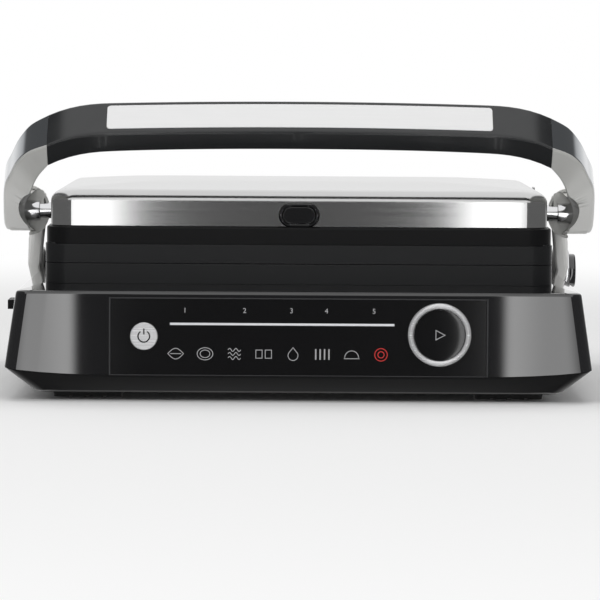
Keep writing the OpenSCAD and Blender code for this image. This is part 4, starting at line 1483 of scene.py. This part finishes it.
    def castings(self) -> None:
        """The two cast arms: corner, hub, strut and hinge disc as one body."""
        stops = (len(self.course) - 1) * self.substeps
        rings = [self.ring(*self.corner_frame(self.station(i / self.substeps))) for i in range(stops + 1)]
        piece = Bench.sweep("right_casting", rings)
        self.mark_outer_face(piece, stops)
        hub_y, hub_z = self.pivot
        hub_outer = self.half_width - 2
        hub = Bench.rod("hub", self.hub, ((self.hub_inner + hub_outer) / 2, hub_y, hub_z),
                        hub_outer - self.hub_inner, Axis.X, 72)
        Bench.soften(hub, 2.2, 4)
        for part in (hub, self.strut_bar(), self.cup()):
            Bench.cut(piece, part, join=True)
        Bench.cut_rod(piece, "hub_mouth", self.mouth, (169.8, hub_y - 62, hub_z), 120, Axis.Y, 72)
        for (radius, x, length), centre in ((self.pin_big, self.pivot), (self.shaft_bore, self.hinge)):
            Bench.cut_rod(piece, "bore", radius, (x, *centre), length, Axis.X)
        Bench.soften(piece, 0.45, 2, 50)
        Bench.tidy(piece, 42)
        left = Bench.mirrored(piece, "left_casting")
        radius, x, length = self.cap_seat
        Bench.cut_rod(piece, "cap_seat", radius, (x, *self.hinge), length, Axis.X)
        for casting, node in ((piece, "arm_right"), (left, "arm_left")):
            parts = [face.material_index for face in casting.data.polygons]
            self.hand_over(casting, Body.ARMS, Look.CAST, [node])
            casting.data.materials.append(self.wardrobe.material(Look.POLISHED))
            casting.data.polygons.foreach_set("material_index", parts)

    def mark_outer_face(self, piece: bpy.types.Object, stops: int) -> None:
        """Gives the casting's broad outer face a material number of its own.

        Args:
            piece: The casting before its hub and strut are joined on.
            stops: How many steps its course has.
        """
        marks = []
        for index in range(stops):
            edge, broad, front = self.corner_frame(self.station((index + 0.5) / self.substeps))
            onward = self.corner_frame(self.station((index + 0.6) / self.substeps))[0] - edge
            out = onward.cross(broad).normalized()
            marks.append((edge + broad / 2, out if out.dot(front) < 0 else -out))
        for _ in range(2):
            piece.data.materials.append(None)
        for face in piece.data.polygons:
            centre = face.center / MM
            _, out = min(marks, key=lambda mark: (mark[0] - centre).length_squared)
            face.material_index = 1 if face.normal.dot(out) > 0.9 else 0

    def cup(self) -> bpy.types.Object:
        """The half-round cup behind the casting that shrouds the pivot pin, open towards the front.

        Returns:
            The cup.
        """
        Bench.clear()
        hub_y, hub_z = self.pivot
        shapes = []
        for shrink in (0.0, self.cup_wall):
            radius, reach = self.cup_r - shrink, self.cup_reach - shrink
            bpy.ops.mesh.primitive_uv_sphere_add(segments=64, ring_count=32, radius=radius * MM,
                                                 location=(self.cup_x * MM, hub_y * MM, hub_z * MM),
                                                 rotation=Axis.X.value)
            ball = bpy.context.object
            ball.scale = (1.0, 1.0, reach / radius)
            Bench.settle(ball)
            shapes.append(ball)
        outer, inner = shapes
        Bench.cut(outer, inner)
        Bench.cut_cube(outer, "outside", (self.cup_x, -30, 80), (220, 40, 150))
        Bench.cut_cube(outer, "open_front", (150, -40, 80), (220, hub_y - 3, 150))
        Bench.soften(outer, 0.4, 2, 50)
        return outer

    def strut_bar(self) -> bpy.types.Object:
        """The lower strut from the hub back to the hinge disc.

        Returns:
            The strut.
        """
        (y0, z0), (y2, z2) = self.pivot, self.hinge
        y1 = y2 - 46
        fall = (z0 - z2) / (y2 - y0)
        z1 = z0 - fall * (y1 - y0)
        slope = math.atan2(z2 - z0, y2 - y0)
        up = Vector((0, -math.sin(slope), math.cos(slope)))
        rings = []
        for y, z, x, reach in ((y0, z0, 171.7, self.hub - 1.2),
                               (y1 - 8, z1 + 8 * fall, self.strut_in - 1.9, self.hub - 2.4),
                               (y1 + 6, z1 - 6 * fall, self.strut_in, self.hub - 2.2),
                               (y2, z2, self.strut_in, self.hub - 0.8)):
            middle = Vector((x + self.strut / 2, y, z))
            rings.append([middle + Vector((u - self.strut / 2, 0, 0)) + up * (v - reach)
                          for u, v in soft_rect(self.strut, 2 * reach, 2.4, 5)])
        strut = Bench.sweep("strut", rings)
        disc = Bench.rod("disc", self.disc, (self.strut_in + self.strut / 2, y2, z2), self.strut, Axis.X, 72)
        Bench.soften(disc, 1.0, 3)
        Bench.cut(strut, disc, join=True)
        return strut

    def pins(self) -> None:
        """The stepped, bright pivot pins."""
        pins = []
        for side in (-1, 1):
            for radius, x, length in (self.pin_big, self.pin_small):
                pins.append(Bench.rod("pin", radius, (side * x, *self.pivot), length, Axis.X))
        for pin in pins:
            Bench.soften(pin, 0.6)
        piece = Bench.merge(pins, "pivot_studs")
        Bench.tidy(piece)
        self.hand_over(piece, Body.ARMS, Look.CHROME, ["pivot_pins"])


class Mark(Enum):
    """Plain pictograms of the programme row."""

    LEAF = 0
    DISC = 1
    WAVES = 2
    SQUARES = 3
    DROP = 4
    BARS = 5
    HALF = 6
    RING = 7


@dataclass
class ControlAssembly(SubAssembly):
    """The control panel and everything that shows on it."""

    front: float = -154.5
    half: float = 120.0
    low: float = 17.45
    high: float = 66.35
    trim_low: float = 17.0
    trim_high: float = 66.8
    print_lift: float = 0.08
    figure: float = 4.6
    power_r: float = 8.8
    status_x: tuple[float, float] = (-82.0, 61.0)
    dial_sides: int = 96
    dial_ring_bore: float = 16.9
    key_r: float = 16.2
    key_face: float = -157.75
    key_dome: float = 0.07
    power: tuple[float, float] = (-98.6, 42.0)
    dial: tuple[float, float] = (89.8, 44.0)
    status_z: float = 50.0
    numeral_z: float = 58.6
    numeral_x: tuple[float, ...] = (-72.5, -34.5, -4.6, 17.7, 48.0)
    icon_z: float = 31.0
    icon_start: float = -78.3
    icon_pitch: float = 18.7
    stroke: float = 0.45

    def build(self) -> None:
        """Builds and dresses all pieces of the panel."""
        self.panel()
        self.trim()
        self.status_line()
        self.numerals()
        self.marks()
        self.power_key()
        self.dial_ring()
        self.start_key()

    def panel(self) -> None:
        """The glossy panel with its bores and the slot for the light."""
        piece = Bench.cube("control_fascia", (-self.half + 0.3, self.front, self.low),
                           (self.half - 0.3, self.front + 2, self.high))
        for radius, (x, z) in ((self.power_r + 0.15, self.power), (self.dial_ring_bore, self.dial)):
            Bench.cut_rod(piece, "key_bore", radius, (x, self.front + 1, z), 8, Axis.Y, 64)
        Bench.cut_cube(piece, "light_slot", (self.status_x[0] - 0.1, self.front - 1, self.status_z - 0.8),
                       (self.status_x[1] + 0.1, self.front + 3, self.status_z + 0.8))
        Bench.finish(piece, 0.35)
        self.hand_over(piece, Body.BASE, Look.PANEL, ["control_panel"])

    def trim(self) -> None:
        """The fine bright line round the panel."""
        piece = Bench.cube("panel_edge_line", (-self.half - 0.9, self.front - 0.15, self.trim_low),
                           (self.half + 0.9, self.front, self.trim_high))
        Bench.cut_cube(piece, "inside", (-self.half + 0.1, self.front - 1, self.trim_low + 0.5),
                       (self.half - 0.1, self.front + 1, self.trim_high - 0.7))
        Bench.finish(piece, 0.05, 2)
        self.hand_over(piece, Body.BASE, Look.GROOVE, ["panel_trim"])

    def status_line(self) -> None:
        """The lit status line, flush in its slot."""
        left, right = self.status_x
        piece = Bench.cube("status_light", (left, self.front, self.status_z - 0.7),
                           (right, self.front + 2, self.status_z + 0.7))
        Bench.soften(piece, 0.25)
        guide = Bench.cube("guide", (left - 2, self.front + 2.1, self.status_z - 2),
                           (right + 2, self.front + 8.4, self.status_z + 2))
        Bench.soften(guide, 0.4, 2)
        piece = Bench.merge([piece, guide], "status_light")
        Bench.tidy(piece)
        self.hand_over(piece, Body.BASE, Look.LIGHT, ["status_bar"])

    def lay_print(self, piece: bpy.types.Object, x: float, z: float, y: float | None = None) -> None:
        """Stands a flat mark from the ground plane up on the panel.

        Args:
            piece: The flat mark, drawn in the XY plane.
            x: Place along X.
            z: Height.
            y: Depth, or none for the panel's face.
        """
        piece.rotation_euler = (math.pi / 2, 0.0, 0.0)
        depth = self.front if y is None else y
        piece.location = (x * MM, (depth - self.print_lift / 2) * MM, z * MM)
        Bench.settle(piece)

    def text(self, words: str, size: float) -> bpy.types.Object:
        """A plain figure, centred in the XY plane.

        Args:
            words: The figure.
            size: Its size.

        Returns:
            The figure as a thin mesh.
        """
        Bench.clear()
        bpy.ops.object.text_add(location=(0, 0, 0))
        piece = bpy.context.object
        piece.data.body = words
        piece.data.size = size * MM
        piece.data.align_x = "CENTER"
        piece.data.align_y = "CENTER"
        piece.data.extrude = self.print_lift / 2 * MM
        Bench.activate(piece)
        bpy.ops.object.convert(target="MESH")
        return piece

    def line(self, points: Sequence[tuple[float, float]], closed: bool = False,
             width: float | None = None) -> bpy.types.Object:
        """A thin stroke along points in the XY plane.

        Args:
            points: The points, in millimetres.
            closed: Joins the last point to the first.
            width: Width of the stroke.

        Returns:
            The stroke as a mesh.
        """
        width = self.stroke if width is None else width
        ends = [Vector((x, y, 0.0)) for x, y in points]
        count = len(ends)
        sides: list[Vector] = []
        for index, point in enumerate(ends):
            before = ends[index - 1] if closed or index > 0 else point
            after = ends[(index + 1) % count] if closed or index < count - 1 else point
            first, second = (point - before), (after - point)
            first = first.normalized() if first.length > 1e-9 else second.normalized()
            second = second.normalized() if second.length > 1e-9 else first
            normal = Vector((-(first.y + second.y), first.x + second.x, 0.0)).normalized()
            stretch = 1 / max(0.5, normal.dot(Vector((-first.y, first.x, 0.0))))
            sides.append(normal * (width / 2 * stretch))
        lift = Vector((0, 0, self.print_lift / 2))
        rings = [[p + s + lift, p - s + lift, p - s - lift, p + s - lift] for p, s in zip(ends, sides)]
        if closed:
            rings.append([v.copy() for v in rings[0]])
        piece = Bench.sweep("stroke", rings)
        if closed:
            Bench.pick_faces(piece, lambda f: len(f.vertices) == 4
                             and (f.center / MM - ends[0]).length < SAME)
            bpy.ops.mesh.delete(type="FACE")
            bpy.ops.mesh.select_all(action="SELECT")
            bpy.ops.mesh.remove_doubles(threshold=0.000001)
            Bench.leave()
        return piece

    def arc(self, radius: float, start: float, stop: float, centre: tuple[float, float] = (0.0, 0.0),
            count: int = 28, squash: float = 1.0, width: float | None = None) -> bpy.types.Object:
        """A thin arc or ring in the XY plane.

        Args:
            radius: Its radius along X.
            start: Angle of its start, in degrees.
            stop: Angle of its end.
            centre: Its centre.
            count: Number of its steps.
            squash: Its radius along Y over that along X.
            width: Width of the stroke.

        Returns:
            The arc as a mesh.
        """
        whole = abs(stop - start) >= 359.9
        steps = count if whole else count + 1
        turns = [math.radians(start + (stop - start) * i / count) for i in range(steps)]
        points = [(centre[0] + radius * math.cos(turn), centre[1] + radius * squash * math.sin(turn))
                  for turn in turns]
        return self.line(points, whole, width)

    def numerals(self) -> None:
        """Plain figures 1 to 5 over the status line."""
        figures = []
        for number, x in enumerate(self.numeral_x, start=1):
            figure = self.text(str(number), self.figure)
            self.lay_print(figure, x, self.numeral_z)
            figures.append(figure)
        piece = Bench.merge(figures, "stage_figures")
        Bench.tidy(piece)
        self.hand_over(piece, Body.BASE, Look.PRINT)

    def mark(self, mark: Mark) -> list[bpy.types.Object]:
        """One pictogram, centred in the XY plane, about 11 by 8 mm.

        Args:
            mark: The pictogram.

        Returns:
            Its strokes.
        """
        wave = [(-4 + 8 * i / 16, 1.0 * math.sin(i / 16 * 4 * math.pi)) for i in range(17)]
        if mark is Mark.LEAF:
            upper = [(-5 + 10 * i / 14, 3.4 * math.sin(math.pi * i / 14)) for i in range(15)]
            lower = [(5 - 10 * i / 14, -3.4 * math.sin(math.pi * i / 14)) for i in range(1, 14)]
            return [self.line(upper + lower, True), self.line([(-3.5, 0), (3.5, 0)])]
        if mark is Mark.DISC:
            return [self.arc(5.0, 0, 360, squash=0.78), self.arc(3.1, 0, 360, squash=0.78)]
        if mark is Mark.WAVES:
            return [self.line([(x, y + dy) for x, y in wave]) for dy in (-2.6, 0.0, 2.6)]
        if mark is Mark.SQUARES:
            return [self.line([(x - 2, -2.6), (x + 2, -2.6), (x + 2, 2.6), (x - 2, 2.6)], True)
                    for x in (-3, 3)]
        if mark is Mark.DROP:
            curve = [(0, 4.2)] + [(3.2 * math.cos(math.radians(a)), -0.8 + 3.2 * math.sin(math.radians(a)))
                                  for a in range(30, -211, -20)]
            return [self.line(curve, True)]
        if mark is Mark.BARS:
            return [self.line([(x, -3.4), (x, 3.4)], width=0.9) for x in (-4.2, -1.4, 1.4, 4.2)]
        if mark is Mark.HALF:
            return [self.arc(4.4, 0, 180, (0, -2.0)), self.line([(-5, -2.6), (5, -2.6)])]
        return [self.arc(4.0, 0, 360), self.arc(2.0, 0, 360)]

    def marks(self) -> None:
        """The row of pictograms, the last one red."""
        grey: list[bpy.types.Object] = []
        for place, mark in enumerate(Mark):
            strokes = self.mark(mark)
            for stroke in strokes:
                self.lay_print(stroke, self.icon_start + place * self.icon_pitch, self.icon_z)
            if mark is Mark.RING:
                red = Bench.merge(strokes, "programme_mark_red")
                Bench.tidy(red)
                self.hand_over(red, Body.BASE, Look.PRINT_RED)
            else:
                grey += strokes
        piece = Bench.merge(grey, "programme_marks")
        Bench.tidy(piece)
        self.hand_over(piece, Body.BASE, Look.PRINT)

    def power_key(self) -> None:
        """The round power key with a cut power sign."""
        low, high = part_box("power_button")
        x, z = self.power
        y0, y1 = low[1] / MM, high[1] / MM
        piece = Bench.rod("power_key", self.power_r, (x, (y0 + y1) / 2, z), y1 - y0, Axis.Y, self.dial_sides)
        Bench.finish(piece, 0.6, 4)
        self.hand_over(piece, Body.POWER_KEY, Look.TRIM, ["power_button"])
        strokes = [self.arc(3.7, 125, 415, width=0.8), self.line([(0, 1.2), (0, 5.0)], width=0.8)]
        for stroke in strokes:
            self.lay_print(stroke, x, z, y0)
        sign = Bench.merge(strokes, "power_sign")
        Bench.tidy(sign)
        self.hand_over(sign, Body.POWER_KEY, Look.PANEL)

    def dial_ring(self) -> None:
        """The silver dial ring: a turned profile spun about its axis."""
        profile = [(20.2, -154.8), (20.2, -156.6), (19.8, -157.5), (19.0, -158.0), (17.9, -158.0),
                   (16.9, -157.5), (16.35, -156.6), (16.3, -155.3), (14.4, -155.3), (14.4, -146.4),
                   (16.3, -146.4), (16.3, -154.8)]
        piece = self.turned("dial_knob_ring", profile)
        self.hand_over(piece, Body.DIAL, Look.TRIM, ["dial_ring"])

    def turned(self, name: str, profile: Sequence[tuple[float, float]]) -> bpy.types.Object:
        """Spins a closed profile about the dial's axis.

        Args:
            name: Name of the object.
            profile: Radius and depth of each corner.

        Returns:
            The turned object.
        """
        Bench.clear()
        bpy.ops.mesh.primitive_circle_add(vertices=len(profile), radius=MM, fill_type="NOTHING")
        piece = Bench.named(name)
        for vertex, (radius, depth) in zip(piece.data.vertices, profile):
            vertex.co = (radius * MM, depth * MM, 0.0)
        Bench.pick_all(piece)
        bpy.ops.mesh.spin(steps=self.dial_sides, angle=2 * math.pi, center=(0, 0, 0), axis=(0, 1, 0),
                          use_auto_merge=True)
        bpy.ops.mesh.select_all(action="SELECT")
        bpy.ops.mesh.remove_doubles(threshold=0.000002)
        bpy.ops.mesh.normals_make_consistent(inside=False)
        Bench.leave()
        piece.location = (self.dial[0] * MM, 0.0, self.dial[1] * MM)
        Bench.settle(piece)
        Bench.tidy(piece, 40)
        return piece

    def start_key(self) -> None:
        """The domed start key with a small outlined triangle."""
        dome = [(self.key_r * math.sin(turn), self.key_face + self.key_dome * (1 - math.cos(turn)))
                for turn in map(math.radians, (0.5, 15, 30, 45, 60, 75, 88))]
        profile = dome + [(self.key_r, -156.5), (14.3, -156.5), (14.3, -150.2), (0.14, -150.2)]
        piece = self.turned("start_key_dome", profile)
        self.hand_over(piece, Body.START_KEY, Look.PANEL, ["start_button"])
        sign = self.line([(-2.4, -3.0), (3.4, 0.0), (-2.4, 3.0)], True, 0.5)
        self.lay_print(sign, *self.dial, self.key_face)
        sign.name = "start_sign"
        Bench.tidy(sign)
        self.hand_over(sign, Body.START_KEY, Look.PRINT)


@dataclass
class HiddenParts(SubAssembly):
    """The pieces inside the grill: their frame nodes stay and get their finishes."""

    looks: dict[Look, tuple[str, ...]] = field(default_factory=lambda: {
        Look.BOARD: ("control_board", "power_board"),
        Look.SATIN_BLACK: ("rotary_encoder", "start_switch", "power_switch"),
        Look.STEEL: ("board_screws", "hinge_brackets", "hinge_shafts", "housing_screws", "drip_chute",
                     "lower_reflector", "lower_heater", "lower_sensor", "thermal_fuse", "lower_latch",
                     "handle_screws", "lid_reflector", "upper_heater", "upper_sensor", "upper_latch",
                     "lid_screws"),
        Look.WOOL: ("insulation_pad",),
        Look.BRONZE: ("pivot_bushes",),
    })

    def build(self) -> None:
        """Dresses the nodes."""
        for look, names in self.looks.items():
            for name in names:
                self.wardrobe.dress_node(FRAME["nodes"][name], look)
                LOG.info("%s dressed as %s", name, look.value[1].name)


# ---------------------------------------------------------------- studio


@dataclass
class Studio:
    """Floor, world, lamps and the camera at the photograph's viewing angle."""

    camera_place: Point = (-0.005752, -2.483165, 0.223739)
    yaw: float = -0.16
    pitch: float = 3.882
    roll: float = 0.355
    focal_pixels: float = 3665.0
    picture: float = 600.0
    sensor: float = 36.0
    floor_grey: float = 0.86
    soft_light: float = 0.55
    panel_light: float = 3.3
    panel_fall: float = 1.0
    wall_light: float = 0.17
    back_light: float = 1.0
    ceiling_light: float = 1.1
    slit: float = 3.38
    slit_edge: float = 0.09
    slit_level: float = 0.03
    panel_run: float = 0.7
    end_run: float = 1.5
    back_turn: tuple[float, float] = (125.0, 160.0)
    wall_rise: tuple[float, float] = (0.12, 0.5)
    ceiling_half: tuple[float, float] = (0.34, 0.42)
    ceiling_rise: tuple[float, float] = (0.2, 0.32)
    floor_size: float = 16.0
    floor_fade: tuple[float, float] = (0.45, 1.5)
    panel_end: float = 4.8

    def build(self) -> None:
        """Builds the whole studio."""
        self.camera()
        self.world()
        self.floor()
        self.lamps()
        bpy.context.scene.view_settings.view_transform = "Standard"

    def camera(self) -> None:
        """The camera, fitted to the photograph."""
        data = bpy.data.cameras.new("camera")
        data.sensor_width = self.sensor
        data.lens = self.sensor * self.focal_pixels / self.picture
        data.clip_end = 20.0
        camera = bpy.data.objects.new("camera", data)
        bpy.context.scene.collection.objects.link(camera)
        place = Matrix.Translation(self.camera_place)
        for turn, axis in ((self.yaw, "Z"), (90 - self.pitch, "X"), (self.roll, "Z")):
            place = place @ Matrix.Rotation(math.radians(turn), 4, axis)
        camera.matrix_world = place
        bpy.context.scene.camera = camera

    def world(self) -> None:
        """A soft world: white behind the grill, two wide panels with a dark slit in the shiny surfaces."""
        world = bpy.data.worlds.new("studio_world")
        bpy.context.scene.world = world
        graph = Graph.of(world)
        x, y, z = graph.add("ShaderNodeSeparateXYZ",
                            in_Vector=graph.add("ShaderNodeTexCoord").outputs["Generated"]).outputs
        side = graph.math("ABSOLUTE", graph.math("ARCTAN2", x, graph.math("MULTIPLY", y, -1.0)), 0.0)
        slit, end = math.radians(self.slit), math.radians(self.panel_end)
        edge = math.radians(self.slit_edge)
        panel = graph.ramp(side, slit - edge, slit + edge, self.slit_level)
        bright = graph.ramp(side, slit, slit + math.radians(self.panel_run), self.panel_light,
                            self.panel_light - self.panel_fall)
        within = graph.ramp(side, end, end + math.radians(self.end_run), 1.0, 0.0)
        behind = graph.ramp(side, *map(math.radians, self.back_turn), self.wall_light, self.back_light)
        low = graph.math("MULTIPLY", panel, graph.math("ADD", graph.math("MULTIPLY", bright, within), behind))
        low = graph.math("ADD", low, graph.ramp(z, *self.wall_rise, 0.0, self.wall_light))
        ceiling = graph.ramp(graph.math("ABSOLUTE", x, 0.0), *self.ceiling_half, self.ceiling_light,
                             self.wall_light)
        over = graph.ramp(z, *self.ceiling_rise)
        shown = graph.math("ADD", graph.math("MULTIPLY", low, graph.math("SUBTRACT", 1.0, over)),
                           graph.math("MULTIPLY", ceiling, over))
        soft, mirror, white = (graph.add("ShaderNodeBackground", in_Color=WHITE, in_Strength=strength)
                               for strength in (self.soft_light, shown, 1.0))
        path = graph.add("ShaderNodeLightPath").outputs
        first = graph.mix(path["Is Glossy Ray"], soft, mirror)
        straight = graph.math("MAXIMUM", path["Is Camera Ray"], path["Is Transmission Ray"])
        graph.add("ShaderNodeOutputWorld", in_Surface=graph.mix(straight, first, white).outputs[0])

    def floor(self) -> None:
        """A plain pale floor that keeps the shadow, fades to white behind and isn't mirrored."""
        Bench.clear()
        bpy.ops.mesh.primitive_plane_add(size=self.floor_size, location=(0, 0, -0.0002))
        floor = bpy.context.object
        floor.name = "studio_floor"
        Bench.settle(floor)
        material = bpy.data.materials.new("pale_floor")
        graph = Graph.of(material)
        plain = graph.add("ShaderNodeBsdfDiffuse", in_Color=(*(self.floor_grey,) * 3, 1.0))
        white = graph.add("ShaderNodeEmission", in_Color=WHITE, in_Strength=1.0)
        clear = graph.add("ShaderNodeBsdfTransparent")
        reach = graph.add("ShaderNodeVectorMath", operation="LENGTH",
                          in_0=graph.add("ShaderNodeTexCoord").outputs["Object"])
        far = graph.ramp(reach.outputs["Value"], *self.floor_fade)
        path = graph.add("ShaderNodeLightPath").outputs
        seen = graph.mix(graph.math("MULTIPLY", far, path["Is Camera Ray"]), plain, white)
        final = graph.mix(path["Is Glossy Ray"], seen, clear)
        graph.add("ShaderNodeOutputMaterial", in_Surface=final.outputs[0])
        floor.data.materials.append(material)

    def lamps(self) -> None:
        """A broad key from the upper left, a fill from the right and a broad lamp above."""
        plans = (  # name, place, aim, width, height and power in watts
            ("key", (-1.3, -1.5, 1.7), (0, 0, 0.08), 1.5, 1.1, 15.0),
            ("fill", (1.6, -1.3, 1.1), (0, 0, 0.08), 1.2, 1.2, 8.0),
            ("top", (0.0, 0.1, 2.0), (0, 0, 0.1), 1.6, 1.0, 11.0),
        )
        for name, place, aim, width, height, power in plans:
            data = bpy.data.lights.new(name, "AREA")
            data.shape = "RECTANGLE"
            data.size, data.size_y = width, height
            data.energy = power
            lamp = bpy.data.objects.new(name, data)
            bpy.context.scene.collection.objects.link(lamp)
            lamp.visible_glossy = False
            lamp.location = place
            lamp.rotation_euler = (Vector(aim) - Vector(place)).to_track_quat("-Z", "Y").to_euler()


FRAME: dict = {}


def main() -> None:
    """Builds the grill's visual model round the frame."""
    logging.basicConfig(level=logging.INFO, format="%(name)s: %(message)s")
    FRAME.update(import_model())
    Studio().build()
    wardrobe = Wardrobe()
    for assembly in (HiddenParts(wardrobe), BaseAssembly(wardrobe), ControlAssembly(wardrobe),
                     LidAssembly(wardrobe), ArmAssembly(wardrobe)):
        LOG.info("building %s", type(assembly).__name__)
        assembly.build()


if __name__ == "__main__":
    main()
